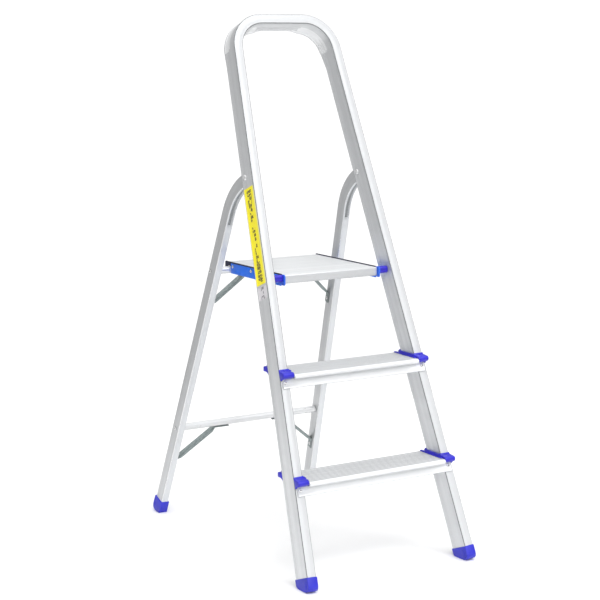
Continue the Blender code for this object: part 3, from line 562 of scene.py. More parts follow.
PALE = sticker("pale_sticker", (0.74, 0.72, 0.75), (0.13, 0.12, 0.14), 0.042, 0.031,
               0.0066, 0.0048, 0.50, 0.85, 0.02)

# ------------------------------------------------------------------ hoop
FF, RF, PF = "front_frame", "rear_frame", "platform"


def hoop_line():
    """Centre line in (x, s) with its outward normal, bend weight and place."""
    a = HOOP_HALF - STILE_W / 2
    top = HOOP_SLOPE - STILE_W / 2
    p0 = Vector((-(a - HOOP_TAPER * STILE_END), STILE_END))
    p1 = Vector((-(a - HOOP_TAPER * top), top))
    p2 = Vector((-p1.x, top))
    r = HOOP_BEND - STILE_W / 2
    u, v = (p0 - p1).normalized(), (p2 - p1).normalized()
    half = u.angle(v) / 2
    t = r / math.tan(half)
    centre = p1 + (u + v).normalized() * (r / math.sin(half))
    start, end = p1 + u * t, p1 + v * t
    sweep = math.pi - 2 * half
    line = []                                     # (point, tangent, bend weight)
    n = 34
    for i in range(n):
        p = p0.lerp(start, i / n)
        line.append((p, -u, smooth(-0.045, 0.02, -(start - p).length)))
    m = 26
    q0 = start - centre
    for i in range(m + 1):
        ang = -sweep * i / m
        q = Vector((q0.x * C(ang) - q0.y * S(ang), q0.x * S(ang) + q0.y * C(ang)))
        tan = Vector((q.y, -q.x)).normalized()
        line.append((centre + q, tan, 1.0))
    k = 10
    for i in range(1, k):
        p = end.lerp(Vector((-end.x, end.y)), i / k)
        d = min((p - end).length, (p - Vector((-end.x, end.y))).length)
        line.append((p, Vector((1, 0)), smooth(-0.045, 0.02, -d)))
    mirror = [(Vector((-p.x, p.y)), Vector((tn.x, -tn.y)), w)
              for p, tn, w in reversed(line[:n + m + 1])]
    line += mirror
    return line, n, m


def recess(d):
    """How far the flange's face lies under its two edge beads."""
    return 0.00055 * smooth(0.0046, 0.0056, d) * (1 - smooth(STILE_D - 0.0082, STILE_D - 0.0072, d))


FLANGE_D = [STILE_D - 0.0005, STILE_D - 0.0030, STILE_D - 0.0072, STILE_D - 0.0077,
            STILE_D - 0.0082, 0.0390, 0.0345, 0.0300, 0.0255, 0.0210, 0.0165, 0.0120, 0.0080,
            0.0056, 0.0051, 0.0046]


def channel_profile():
    """(across, depth) round the section; across is outwards."""
    h, r, w = STILE_W / 2, 0.0021, STILE_WALL
    outer = [(h - 0.0004, STILE_D), (h, STILE_D - 0.0004)]
    outer += [(h - recess(d), d) for d in FLANGE_D]
    outer += arc(h - r, r, r, 0, -90, 5)[0:]
    # the web's face is very slightly crowned between two soft lines
    web = [(h * f, 0.00016 * (1 if abs(f) > 0.5 else 0)) for f in (0.62, 0.52, 0.44, 0.15, -0.15, -0.44, -0.52, -0.62)]
    inner = arc(-h + r, r, r, -90, -180, 5)
    inner += [(-h + recess(d), d) for d in reversed(FLANGE_D)]
    inner += [(-h, STILE_D - 0.0004), (-h + 0.0004, STILE_D)]
    back = [(-h + w - 0.0003, STILE_D), (-h + w, STILE_D - 0.0003)]
    ds = [0.0420, 0.0340, 0.0260, 0.0180, 0.0100]
    back += [(-h + w, d) for d in ds]
    back += arc(-h + w + 0.0012, w + 0.0012, 0.0012, 180, 270, 3)
    back += arc(h - w - 0.0012, w + 0.0012, 0.0012, 270, 360, 3)
    back += [(h - w, d) for d in reversed(ds)]
    back += [(h - w, STILE_D - 0.0003), (h - w + 0.0003, STILE_D)]
    return outer + web + inner + back


def hoop_piece():
    line, n, m = hoop_line()
    prof = channel_profile()
    h = STILE_W / 2
    rings = []
    lengths = [0.0]
    for (a, *_), (b, *_) in zip(line, line[1:]):
        lengths.append(lengths[-1] + (b - a).length)
    total = lengths[-1]
    b0, b1 = lengths[n], lengths[n + m]
    mid = (b0 + b1) / 2
    span = (b1 - b0) / 2 + 0.030
    for (p, tan, w), length in zip(line, lengths):
        nrm = Vector((-tan.y, tan.x))
        q = min(length, total - length)           # both bends alike
        t = (q - mid) / span                      # -1 .. 1 over the bend
        fold = smooth(0.0, 0.42, 1 - abs(t))
        ring = []
        for a, d in prof:
            # the flanges splay a little past a crease where the channel was bent
            if fold > 0:
                crease = STILE_D * (1.0 - 0.60 * fold)
                over = max(0.0, d - crease)
                soft = over * over / (over + 0.0014) if over else 0.0
                if a < 0:
                    a -= soft * 0.235 * fold
                else:
                    a += soft * 0.060 * fold
            q2 = p + nrm * a
            ring.append(front(q2.x, q2.y, d))
        rings.append(ring)
    bm = bmesh.new()
    loft(bm, rings)
    # painted highlight: the splayed zones past the crease take a paler copy of the aluminium
    bm.verts.ensure_lookup_table()
    bm.verts.index_update()
    k = len(prof)
    for f in bm.faces:
        at = [divmod(v.index, k) for v in f.verts]
        if len(at) != 4:
            continue
        hot = 0
        for i, j in at:
            q = min(lengths[i], total - lengths[i])
            fold = smooth(0.0, 0.42, 1 - abs((q - mid) / span))
            hot += prof[j][1] > STILE_D * (1.0 - 0.60 * fold) + 0.0030 and fold > 0.42
        if hot == 4 and max(prof[j][1] for _, j in at) < STILE_D - 0.0025:
            f.material_index = 1
        # painted shade: rolled corners and cut edges take a near-black copy of the aluminium
        js = [j for _, j in at]
        if all(abs(prof[j][0]) > h - 0.0019 and prof[j][1] < 0.0019 for j in js) or \
                all(prof[j][1] > STILE_D - 0.0006 for j in js):
            f.material_index = 2
        # painted shade: the web's front face takes a darker copy of the aluminium
        elif all(prof[j][1] < 0.0006 and abs(prof[j][0]) < h - 0.0010 for j in js):
            f.material_index = 3
    return bm


place("hoop", hoop_piece(), [ALU, PAINTED_HIGHLIGHT_ALU, EDGE_SHADE_ALU, ALU_WEB_SHADED], FF, "front_hoop", sharp=38,
      recalc=True)

# ------------------------------------------------------------------ rear legs


def leg_line():
    """The legs' centre line in (s, e), its arc length from the pivot, the index where its bend starts and the bend's
    step count.
    """
    e0 = LEG_D / 2
    pts = [Vector((LEG_END + (LEG_BEND_START - LEG_END) * i / 26, e0)) for i in range(26)]
    pts += [Vector((LEG_BEND_START - t, e0)) for t in (0.030, 0.026, 0.022, 0.018, 0.014, 0.010,
                                                       0.006, 0.002)]
    first = len(pts)
    m = 28
    for i in range(m + 1):
        a = LEG_BEND * i / m
        pts.append(Vector((LEG_BEND_START + LEG_BEND_R * S(a), e0 - LEG_BEND_R * (1 - C(a)))))
    end_dir = Vector((C(LEG_BEND), -S(LEG_BEND)))
    end = pts[-1]
    along = (Vector((PIVOT_LEG.x, PIVOT_LEG.y)) - end).dot(end_dir)
    for t in (0.35 * along, 0.7 * along, along, along + LEG_TIP * 0.5, along + LEG_TIP - 0.001,
              along + LEG_TIP):
        pts.append(end + end_dir * t)
    k = len(pts) - 4
    dist = [0.0] * len(pts)
    for i in range(k - 1, -1, -1):
        dist[i] = dist[i + 1] + (pts[i] - pts[i + 1]).length
    for i in range(k + 1, len(pts)):
        dist[i] = dist[i - 1] - (pts[i] - pts[i - 1]).length
    return pts, dist, first, m


LEG_PTS, LEG_DIST, LEG_FIRST, LEG_M = leg_line()


def follow(t):
    near = 0.0144
    if t < 0:
        return PIVOT_X + 0.021 * t
    if t < near:
        return PIVOT_X + 0.5 * HOOP_TAPER * t
    return PIVOT_X + HOOP_TAPER * (t - 0.5 * near)


X_BEND = follow(LEG_DIST[LEG_FIRST])
GROOVE_END = LEG_DIST[LEG_FIRST] + 0.0290


def leg_x(s):
    return X_BEND + (REAR_HALF - LEG_W / 2 - X_BEND) * (LEG_BEND_START - s) / LEG_BEND_START


def leg_place(i):
    return leg_x(LEG_PTS[i].x) if i < LEG_FIRST else follow(LEG_DIST[i])


def leg_piece(side):
    hw, hd, r = LEG_W / 2, LEG_D / 2, 0.0027
    # (across the width, back from the centre) with extra points on the front face's groove
    outline = arc(hw - r, hd - r, r, 0, 90, 4)
    outline += [(0.003, hd), (-0.003, hd)]
    outline += arc(-hw + r, hd - r, r, 90, 180, 4)
    outline += [(-hw, 0.004), (-hw, -0.004)]
    outline += arc(-hw + r, -hd + r, r, 180, 270, 4)
    outline += [(a, -hd) for a in (-0.0060, -0.0052, -0.0046, -0.0036, -0.0030, -0.0012, 0.0012,
                                   0.0030, 0.0036, 0.0046, 0.0052, 0.0060)]
    outline += arc(hw - r, -hd + r, r, 270, 360, 4)
    outline += [(hw, -0.004), (hw, 0.004)]
    inner = round_rect(-hw + LEG_WALL, -hd + LEG_WALL, hw - LEG_WALL, hd - LEG_WALL, 0.0014, 3)
    n = len(LEG_PTS)
    tilt = math.atan(HOOP_TAPER)

    def ring_at(i, shape, grooved, push=0.0):
        p = LEG_PTS[i]
        x = leg_place(i)
        a, b = LEG_PTS[max(0, i - 1)], LEG_PTS[min(n - 1, i + 1)]
        xa, xb = leg_place(max(0, i - 1)), leg_place(min(n - 1, i + 1))
        tan = (rear(side * xb, b.x, b.y) - rear(side * xa, a.x, a.y)).normalized()
        f = min(1.0, max(0.0, (i - LEG_FIRST) / LEG_M))
        wide = (X * side * C(tilt * f) + UP_FRONT * S(tilt * f))
        wide = (wide - tan * wide.dot(tan)).normalized()
        back = wide.cross(tan) * side
        if back.dot(REAR_BACK) < 0 and i < LEG_FIRST:
            back = -back
        if i >= LEG_FIRST and back.dot(Vector((0, 1, 0.3))) < 0:
            back = -back
        mid = rear(side * x, p.x, p.y) + tan * push
        t = LEG_DIST[i]
        g = smooth(0.019, 0.026, t) * (1 - smooth(GROOVE_END - 0.012, GROOVE_END, t))
        out = []
        for a, b in shape:
            # a deep pressed groove down the front face stiffens the bend; the bore clears it
            if g and grooved and b <= -hd + 1e-9:
                b += 0.0030 * g * (1 - smooth(0.0030, 0.0053, abs(a)))
            if g and not grooved and b < 0:
                b += 0.0032 * g
            out.append(mid + wide * a + back * b)
        return out
    shell = bmesh.new()
    loft(shell, [ring_at(i, outline, True) for i in range(n)])
    # painted shade: the groove's floor and shaded wall take a dark copy of the aluminium
    shell.verts.ensure_lookup_table()
    shell.verts.index_update()
    m = len(outline)
    for f in shell.faces:
        at = [divmod(v.index, m) for v in f.verts]
        if len(at) == 4 and all(0.020 < LEG_DIST[i] < GROOVE_END - 0.003 and outline[j][1] <= -hd + 1e-9
                                and -0.0031 <= -side * outline[j][0] <= 0.0053 for i, j in at):
            f.material_index = 1
        # painted highlight: the front face's rounded corners take a paler copy of the aluminium
        elif len(at) == 4 and all(abs(outline[j][0]) > hw - 0.0023 and outline[j][1] < -hd + 0.0023
                                  for i, j in at):
            f.material_index = 2
    bmesh.ops.recalc_face_normals(shell, faces=shell.faces)
    bore = bmesh.new()
    rings = [ring_at(0, inner, False, -0.02)] + [ring_at(i, inner, False) for i in range(n)]
    rings.append(ring_at(n - 1, inner, False, 0.02))
    loft(bore, rings)
    bmesh.ops.recalc_face_normals(bore, faces=bore.faces)
    leg = cut(shell, bore)
    leg.normal_update()
    # painted shade: faces turned to the sides take a darker copy of the aluminium
    for f in leg.faces:
        if abs(f.normal.x) > 0.8 and f.material_index == 0:
            f.material_index = 3
    return leg


for side, tag in SIDES:
    place("rear_leg_tube_" + tag, leg_piece(side), [ALU_LEG, GROOVE_SHADE, PAINTED_HIGHLIGHT_ALU, ALU_LEG_SIDE_SHADED],
          RF, "rear_leg_" + tag,
          sharp=38)

# ------------------------------------------------------------------ feet


def ribs_and_pocket(body, pocket, floor_cut=True):
    tools = [pocket]
    if floor_cut:
        tools.append(block((-0.5, -0.6, -0.06), (0.5, 0.6, 0.0), Matrix.Identity(4)))
    return cut(body, *tools)


for side, tag in SIDES:
    sf = stile_frame(side)
    view = sf @ frame_matrix((0, 0, -1), (0, 1, 0), (0, 0, 0))     # (d, s), z = across
    w, back = 0.0026, STILE_D + 0.0040
    wide = STILE_W / 2 + 0.0013

    def ground(d):
        return d * SLOPE - 0.0010
    shape = [(-w, 0.0400)] + bezier((-w, 0.0215), (-w, ground(-w)), (0.0360, ground(0.0360)), 14)
    shape += bezier((0.0450, ground(0.0450)), (back, ground(back)), (back, 0.0285), 7)
    shape += [(back, 0.0400)]
    foot = prism(shape, view, -wide, wide, 0.0019, 3)
    pocket = block((-STILE_W / 2 - 0.0001, STILE_END - 0.0010, -STILE_D - 0.0001),
                   (STILE_W / 2 + 0.0001, 0.10, 0.0001), sf)
    tools = [pocket, block((-0.5, -0.6, -0.06), (0.5, 0.6, 0.0), Matrix.Identity(4))]
    # sole grooves across the pad
    for k in range(4):
        y = -0.3705 + k * 0.0086
        tools.append(block((side * 0.2239 - 0.020, y - 0.0011, -0.01),
                           (side * 0.2239 + 0.020, y + 0.0011, 0.0016), Matrix.Identity(4)))
    # moulded flutes down both sides near the front
    for sx in (-1, 1):
        for k, d in enumerate((0.0048, 0.0098)):
            tools.append(prism(round_rect(d - 0.0012, 0.0125, d + 0.0012, 0.0340, 0.0011, 3), view,
                               *sorted((sx * (wide - 0.0006), sx * (wide + 0.003)))))
    foot = cut(foot, *tools)
    place("front_foot_boot_" + tag, foot, BLUE_FOOT, FF, "front_foot_" + tag,
          sharp=30)

    foot_at = rear(side * leg_x(0), 0, 0)
    up = (rear(side * leg_x(0.5), 0.5, 0) - foot_at).normalized()
    lf = frame_matrix(up.cross(-REAR_BACK), up, foot_at)
    view = lf @ frame_matrix((0, 0, -1), (0, 1, 0), (0, 0, 0))
    w, back = 0.0022, LEG_D + 0.0050
    wide = LEG_W / 2 + 0.0022

    def ground2(e):
        return -e * math.tan(REAR_LEAN) - 0.0010
    shape = [(-w, 0.0330)] + bezier((-w, 0.0035), (-w, ground2(-w)), (0.0005, ground2(0.0005)), 5)
    shape += bezier((0.0015, ground2(0.0015)), (back, ground2(back)), (back, 0.0100), 14)
    shape += [(LEG_D + 0.0040, 0.0330)]
    foot = prism(shape, view, -wide, wide, 0.0018, 3)
    pocket = block((-LEG_W / 2 - 0.0001, LEG_END - 0.0008, -LEG_D - 0.0001),
                   (LEG_W / 2 + 0.0001, 0.10, 0.0001), lf)
    tools = [pocket, block((-0.5, -0.6, -0.06), (0.5, 0.6, 0.0), Matrix.Identity(4))]
    for k in range(3):
        y = 0.3595 + k * 0.0072
        tools.append(block((side * 0.2314 - 0.020, y - 0.0010, -0.01),
                           (side * 0.2314 + 0.020, y + 0.0010, 0.0014), Matrix.Identity(4)))
    for sx in (-1, 1):
        for e in (0.0260, 0.0310):
            tools.append(prism(round_rect(e - 0.0011, 0.0075, e + 0.0011, 0.0280, 0.0010, 3), view,
                               *sorted((sx * (wide - 0.0006), sx * (wide + 0.003)))))
    foot = cut(foot, *tools)
    place("rear_foot_boot_" + tag, foot, BLUE_FOOT, RF, "rear_foot_" + tag,
          sharp=30)

# ------------------------------------------------------------------ treads and their caps


def rivet_bm(point, outward, r, h, hole=0.30):
    """A blind rivet's head: a dome with a rolled rim and a dark core."""
    out = Vector(outward).normalized()
    prof = [(0, h * 0.34), (r * hole * 0.82, h * 0.36), (r * hole, h * 0.62), (r * hole * 1.10, h * 0.94),
            (r * (hole + 0.14), h), (r * 0.66, h * 0.93), (r * 0.84, h * 0.72), (r * 0.955, h * 0.42),
            (r, h * 0.12), (r * 0.985, 0.0), (0, 0.0)]
    # the core is the mandrel's dark end with painted shade in its hole, the rolled rim is dark as painted shade, the
    # dome between them bright
    mats = [1, 1, 1, 0, 0, 0, 0, 1, 1, 1]
    return turned(prof, facing(Vector(point), out), 28, mats)


def tread_piece(s_line):
    face = front(0, s_line, 0)
    here = Matrix.Translation((0, face.y, face.z))
    YZ = here @ frame_matrix((0, 1, 0), (0, 0, 1), (0, 0, 0))
    out_half = hoop_half(s_line)
    in_half = out_half - STILE_W
    T, skin = TREAD_TOP, 0.0022
    off, ins = 0.0032, GAP / C(FRONT_LEAN)
    low = -APRON_H * C(FRONT_LEAN)
    back = TREAD_REAR - 0.0032

    def x_end(y, z):
        s = z * C(FRONT_LEAN) + y * S(FRONT_LEAN)
        inner = in_half - HOOP_TAPER * s - 0.0028
        nose_end = out_half - CAP_IN - 0.0005
        f = smooth(-0.001, 0.004, y)
        return nose_end * (1 - f) + inner * f
    # nosing, from the groove under it round to the deck
    ring = [(-off, 0.0004)]
    ring += [(-0.0120, 0.0004), (-0.0150, 0.0008)]
    ring += [(-NOSE + 0.0058 + 0.0058 * C(math.radians(a)), 0.0060 + 0.0056 * S(math.radians(a)))
             for a in (245, 225, 205, 190, 175, 160, 140, 120, 104)]
    # ribbed deck: flat lands with narrow valleys between them
    y, pitch, valley, depth = -0.0122, 0.0087, 0.0034, 0.00055
    ring.append((-0.0146, T - 0.0002))
    while y < back - 0.0080:
        ring += [(y, T), (y + 0.0004, T - depth), (y + valley - 0.0004, T - depth),
                 (y + valley, T)]
        y += pitch
    ring += [(back - 0.0016, T), (back - 0.0005, T - 0.0005), (back, T - 0.0016),
             (back, T - 0.0214), (back - 0.0006, T - 0.0220), (back - 0.0016, T - 0.0220),
             (back - 0.0020, T - 0.0214), (back - 0.0020, T - skin - 0.0006),
             (back - 0.0026, T - skin)]
    for rib in (0.046, 0.022):
        ring += [(rib + 0.0024, T - skin), (rib + 0.0018, T - skin - 0.0005),
                 (rib + 0.0018, T - 0.0096), (rib + 0.0014, T - 0.0100),
                 (rib + 0.0004, T - 0.0100), (rib, T - 0.0096), (rib, T - skin - 0.0005),
                 (rib - 0.0006, T - skin)]
    ring += [(-ins + SLOPE * (T - skin), T - skin), (-ins, 0.0004)]
    xs = [-1.0, -0.999, -0.72, -0.36, 0.0, 0.36, 0.72, 0.999, 1.0]
    m = here
    rings = [[m @ Vector((x_end(a, b) * f, a, b)) for a, b in ring] for f in xs]
    bm = bmesh.new()
    loft(bm, rings)
    bmesh.ops.recalc_face_normals(bm, faces=bm.faces)
    # the hollow of the nosing
    void = prism([(-NOSE + 0.0035, 0.0030), (-0.0056, 0.0024), (-0.0056, T - skin - 0.0006),
                  (-NOSE + 0.0050, T - skin - 0.0006)], YZ, -0.25, 0.25)
    bm = cut(bm, void)
    # riveted strip in front of the stiles, with a bead along its lower edge
    half = out_half - 0.0035
    t1, t0 = off, ins
    strip = []
    zs = [0.0020, 0.0, low * 0.18, low * 0.82, low + 0.0034]
    strip += [(-t1 + SLOPE * z + (0.0 if z > low * 0.15 else 0.0), z) for z in zs]
    strip += [(-t1 - 0.0003 + SLOPE * z, z) for z in (low + 0.0028, low + 0.0009)]
    strip += [(-t1 + 0.0004 + SLOPE * low, low)]
    strip += [(-t0 - 0.0004 + SLOPE * low, low), (-t0 + SLOPE * (low + 0.0005), low + 0.0005)]
    strip += [(-t0 + SLOPE * 0.0020, 0.0020)]
    rings = []
    for f in xs:
        inset = 0.0005 if abs(f) == 1.0 else 0.0
        rings.append([m @ Vector((f * half, a, b + (inset if b < low + 0.004 else 0.0)))
                      for a, b in strip])
    loft(bm, rings)
    return bm, face, out_half, in_half, YZ, here


def cap_piece(side, s_line, face, out_half, in_half, YZ, here):
    """Front block, end wall with its rail, ledge, rear plate and bumper, one moulding."""
    sf = stile_frame(side)
    T = TREAD_TOP
    ins = GAP / C(FRONT_LEAN)
    top = T + 0.0095

    def span(a, b):
        return sorted((side * a, side * b))
    # nose block, lower than the upstand behind it
    bx0, bx1 = span(out_half - CAP_IN, out_half + 0.0004)
    prof = [(-ins + SLOPE * (T + 0.0066), T + 0.0066), (0.0010, T + 0.0062),
            (-0.0050, T + 0.0054)]
    prof += [(-CAP_NOSE + 0.0068 + 0.0068 * C(math.radians(a)),
              0.0103 + 0.0068 * S(math.radians(a))) for a in range(84, 262, 16)]
    prof += [(-CAP_NOSE + 0.0105, 0.0016), (-CAP_NOSE + 0.0125, GAP), (-ins, GAP)]
    body = prism(prof, YZ, bx0, bx1, 0.0016, 3, angle=34)
    # upstand plate on the stile's face, and the gusset that stiffens it
    ux0, ux1 = span(out_half - STILE_W - 0.0030, out_half - 0.0004)
    up_prof = [(-ins + SLOPE * (T + 0.0020), T + 0.0020), (-ins + SLOPE * top, top),
               (-ins + SLOPE * top - 0.0024, top), (-ins + SLOPE * (T + 0.0020) - 0.0034, T + 0.0020)]
    upstand = prism(up_prof, YZ, ux0, ux1, 0.0007, 2)
    gx = side * (out_half - 0.0125)
    gus = prism([(-ins + SLOPE * top - 0.0015, top - 0.0012), (-0.0120, T + 0.0046),
                 (-0.0120, T + 0.0025), (-ins + SLOPE * T - 0.0010, T + 0.0025)], YZ,
                gx - 0.0013, gx + 0.0013, 0.0005, 2)
    # tongue beside the strip's end
    tx0, tx1 = span(out_half - 0.0029, out_half + 0.0002)
    tongue = prism([(-ins - 0.0001 + SLOPE * -0.0030, -0.0030), (-0.0052, -0.0026),
                    (-0.0078, 0.0006), (-0.0078, 0.0040), (-ins + SLOPE * 0.0040, 0.0040)], YZ,
                   tx0, tx1, 0.0007, 2)
    # end wall against the stile's inner face, with a rail above the deck
    inner = -side * (STILE_W / 2 + GAP)
    ex0, ex1 = sorted((inner, inner - side * 0.0020))
    wall = block((ex0, s_line - 0.004, -STILE_D - 0.0030), (ex1, s_line + 0.0245, -0.0004), sf,
                 0.0006, 2)
    # rail: follows the deck's line, proud of it
    rx0, rx1 = span(in_half - 0.0046 - 0.0012, in_half - 0.0024)
    rail = prism([(-0.0010, T - 0.0002), (-0.0010, T + 0.0070), (0.0050, T + 0.0078),
                  (0.0600, T + 0.0078), (0.0640, T + 0.0068), (0.0652, T + 0.0040),
                  (0.0652, T - 0.0002)], YZ, rx0, rx1, 0.0006, 2)
    # ledge on the deck, its inner edge turned down to a soft lip
    lx0, lx1 = span(in_half - 0.0026, in_half - 0.0095)
    back = TREAD_REAR - 0.0034
    ledge = prism([(-0.0060, T + 0.0002), (-0.0060, T + 0.0027), (back - 0.0010, T + 0.0027),
                   (back, T + 0.0016), (back, T + 0.0002)], YZ, lx0, lx1, 0.0008, 2)
    # flared plate behind the stile
    px0, px1 = sorted((inner - side * 0.0015, side * (STILE_W / 2 - 0.0006)))
    plate_c = s_line + 0.0350
    plate = block((px0, plate_c - 0.0120, -STILE_D - GAP - 0.0036),
                  (px1, plate_c + 0.0120, -STILE_D - GAP + 0.0001), sf, 0.0010, 2)
    root = (STILE_D + GAP + 0.0016) / C(FRONT_LEAN)
    kx0, kx1 = span(out_half - 0.0226, out_half - 0.0014)
    flare = prism([(root + SLOPE * 0.0030, 0.0030), (root + SLOPE * 0.0055 + 0.0062, 0.0056),
                   (root + SLOPE * 0.0178 + 0.0050, 0.0178), (root + SLOPE * 0.0205, 0.0205)],
                  YZ, kx0 + 0.0003, kx1 - 0.0003, 0.0009, 2)
    knob = prism([(root + SLOPE * 0.0056, 0.0056), (BUMPER_REAR, 0.0056), (BUMPER_REAR, 0.0178),
                  (root + SLOPE * 0.0178, 0.0178)], YZ, kx0, kx1, 0.0024, 4)
    return merge(body, upstand, gus, tongue, ledge, rail, wall, plate, flare, knob)


for level, s_line in TREADS.items():
    bm, face, out_half, in_half, YZ, here = tread_piece(s_line)
    # painted light by facing: faces turned to the front take a darker copy of the aluminium than the ribbed top;
    # painted shade: the valleys between the ribs take a dark copy
    bm.normal_update()
    for f in bm.faces:
        zs = [v.co.z - face.z for v in f.verts]
        if max(zs) < TREAD_TOP + 1e-5 and abs(min(zs) - TREAD_TOP + 0.00055) < 2e-5 \
                and min(v.co.y for v in f.verts) > face.y - 0.0125:
            f.material_index = 2
        elif f.normal.y < -0.30:
            f.material_index = 1
    place("tread_board_" + level, bm, [ALU_TREAD, ALU_FRONT_SHADED, VALLEY_SHADE], FF, "tread_" + level, sharp=30)
    for side, tag in SIDES:
        key = "%s_%s" % (level, tag)
        cap = cap_piece(side, s_line, face, out_half, in_half, YZ, here)
        place("tread_end_cap_" + key, cap, BLUE, FF, "tread_cap_" + key, sharp=30)
        s_rivet = s_line - 0.0090
        at = front(side * (hoop_half(s_rivet) - 0.0123), s_rivet, -0.0032 * C(FRONT_LEAN))
        place("tread_blind_rivet_" + key, rivet_bm(at - FORWARD * 0.0001, FORWARD, 0.0048, 0.0019),
              [RIVET, MANDREL_AND_SHADE], FF, "tread_rivet_" + key, sharp=50)

# ------------------------------------------------------------------ cross tubes and braces


def brace_piece(side, level):
    s_t, e_t = TUBES[level]
    xa, xb, s_b, s_e = BRACES[level]
    s_tab = s_t - TUBE_R - GAP

    def face_x(s):
        return leg_x(s) - LEG_W / 2 - GAP
    corner = [Vector((xa, s_tab)), Vector((xb, s_tab)), Vector((face_x(s_b), s_b)),
              Vector((face_x(s_e), s_e))]
    path = [(corner[0], 0.0), (corner[0].lerp(corner[1], 0.5), 0.0)]
    total = (corner[2] - corner[1]).length
    u = (corner[2] - corner[1]) / total
    for idx in (1, 2):
        a, b, c = corner[idx - 1], corner[idx], corner[idx + 1]
        p, q = (a - b).normalized(), (c - b).normalized()
        half = p.angle(q) / 2
        r = 0.0045
        t = r / math.tan(half)
        cen = b + (p + q).normalized() * (r / math.sin(half))
        v0, v1 = b + p * t - cen, b + q * t - cen
        sw = math.pi - 2 * half
        pts = [cen + (v0 * S((1 - f) * sw) + v1 * S(f * sw)) / S(sw)
               for f in [i / 5 for i in range(6)]]
        if idx == 2:
            for i in range(1, 12):
                path.append((p1_end.lerp(pts[0], i / 12), None))
        path += [(x, None) for x in pts]
        p1_end = pts[-1]
    path.append((corner[2].lerp(corner[3], 0.6), 0.0))
    path.append((corner[3], 0.0))
    w, t = BRACE_W / 2, BRACE_T
    rings = []
    for i, (p, _) in enumerate(path):
        a, b = path[max(0, i - 1)][0], path[min(len(path) - 1, i + 1)][0]
        tan = (b - a).normalized()
        n = Vector((tan.y, -tan.x))
        dist = (p - corner[1]).dot(u)
        f = smooth(0.001, 0.013, dist) * (1 - smooth(total - 0.014, total - 0.002, dist))
        lip = t + 0.0002 + (BRACE_LIP - t - 0.0004) * f
        k = 0.0011
        sec = ([(-w, k), (-w + k * 0.3, k * 0.3), (-w + k, 0), (-w * 0.3, 0.0), (w * 0.3, 0.0),
                (w - k, 0), (w - k * 0.3, k * 0.3), (w, k)]
               + [(w, lip - 0.0002), (w - 0.0003, lip), (w - 0.0011, lip), (w - 0.0014, lip - 0.0002),
                  (w - 0.0014, t + 0.0001), (w - 0.0016, t), (0.0025, t), (-0.0025, t),
                  (-w + 0.0016, t), (-w + 0.0014, t + 0.0001), (-w + 0.0014, lip - 0.0002),
                  (-w + 0.0011, lip), (-w + 0.0003, lip), (-w, lip - 0.0002)])
        ring = []
        for e, m in sec:
            # a shallow pressed channel stiffens the web
            press = 0.0009 * f * smooth(0.0038, 0.0020, abs(e)) if abs(e) < 0.0030 else 0.0
            q = p + n * (m + press)
            ring.append(rear(side * q.x, q.y, e_t + e))
        rings.append(ring)
    bm = bmesh.new()
    loft(bm, rings)
    return bm, s_tab, face_x


for level, (s_t, e_t) in TUBES.items():
    half = leg_x(s_t) - LEG_W / 2 - GAP - 0.0008
    centre = rear(0, s_t, e_t)
    ri = TUBE_R - 0.0012
    prof = [(ri, -half), (TUBE_R - 0.0003, -half), (TUBE_R, -half + 0.0003)]
    n = 12
    prof += [(TUBE_R, -half + 0.0003 + (2 * half - 0.0006) * i / n) for i in range(1, n + 1)]
    prof += [(TUBE_R - 0.0003, half), (ri, half), (ri, -half)]
    tube = turned(prof, facing(centre, X), 40)
    grain(tube, X)
    place(level + "_crossbar", tube, ALU_TUBE, RF, level + "_cross_tube",
          weld=1e-5, recalc=True)
    for side, tag in SIDES:
        key = "%s_%%s_%s" % (level, tag)
        at = rear(side * (leg_x(s_t) + LEG_W / 2), s_t, e_t)
        place(key % "crossbar_rivet", rivet_bm(at + X * side * 0.0001, X * side, 0.0050, 0.0019),
              [RIVET, MANDREL_AND_SHADE], RF, key % "tube_rivet", sharp=50)
        brace, s_tab, face_x = brace_piece(side, level)
        place(key % "brace_channel", brace, ZINC, RF, key % "brace", sharp=40,
              recalc=True)
        xa, xb, s_b, s_e = BRACES[level]
        xr = (xa + xb) / 2 - 0.004
        head = rear(side * xr, s_tab - BRACE_T, e_t)
        place(key % "brace_bar_rivet", rivet_bm(head, -REAR_UP, 0.0045, 0.0017),
              [RIVET, MANDREL_AND_SHADE], RF, key % "brace_tube_rivet", sharp=50)
        sr = (s_b + s_e) / 2 - 0.003
        head = rear(side * (face_x(sr) - BRACE_T), sr, e_t)
        place(key % "brace_side_rivet", rivet_bm(head, -X * side, 0.0045, 0.0017),
              [RIVET, MANDREL_AND_SHADE], RF, key % "brace_leg_rivet", sharp=50)

# ------------------------------------------------------------------ leg pivots
for side, tag in SIDES:
    h = STILE_W / 2
    dome = [(0, h + 0.0030), (0.0022, h + 0.0029), (0.0040, h + 0.0025), (0.0055, h + 0.0018),
            (0.0066, h + 0.0009), (0.0070, h + 0.0003), (0.0070, h - 0.0003)]
    prof = dome + [(0.0040, h - 0.0003), (0.0040, -h + 0.0003)]
    prof += [(r, -z) for r, z in reversed(dome)]
    place("leg_pivot_stud_" + tag, turned(prof, facing(Vector((side * PIVOT_X, PIVOT.y, PIVOT.z)),
                                                       X * side), 36),
          RIVET, FF, "leg_pivot_rivet_" + tag, sharp=50)

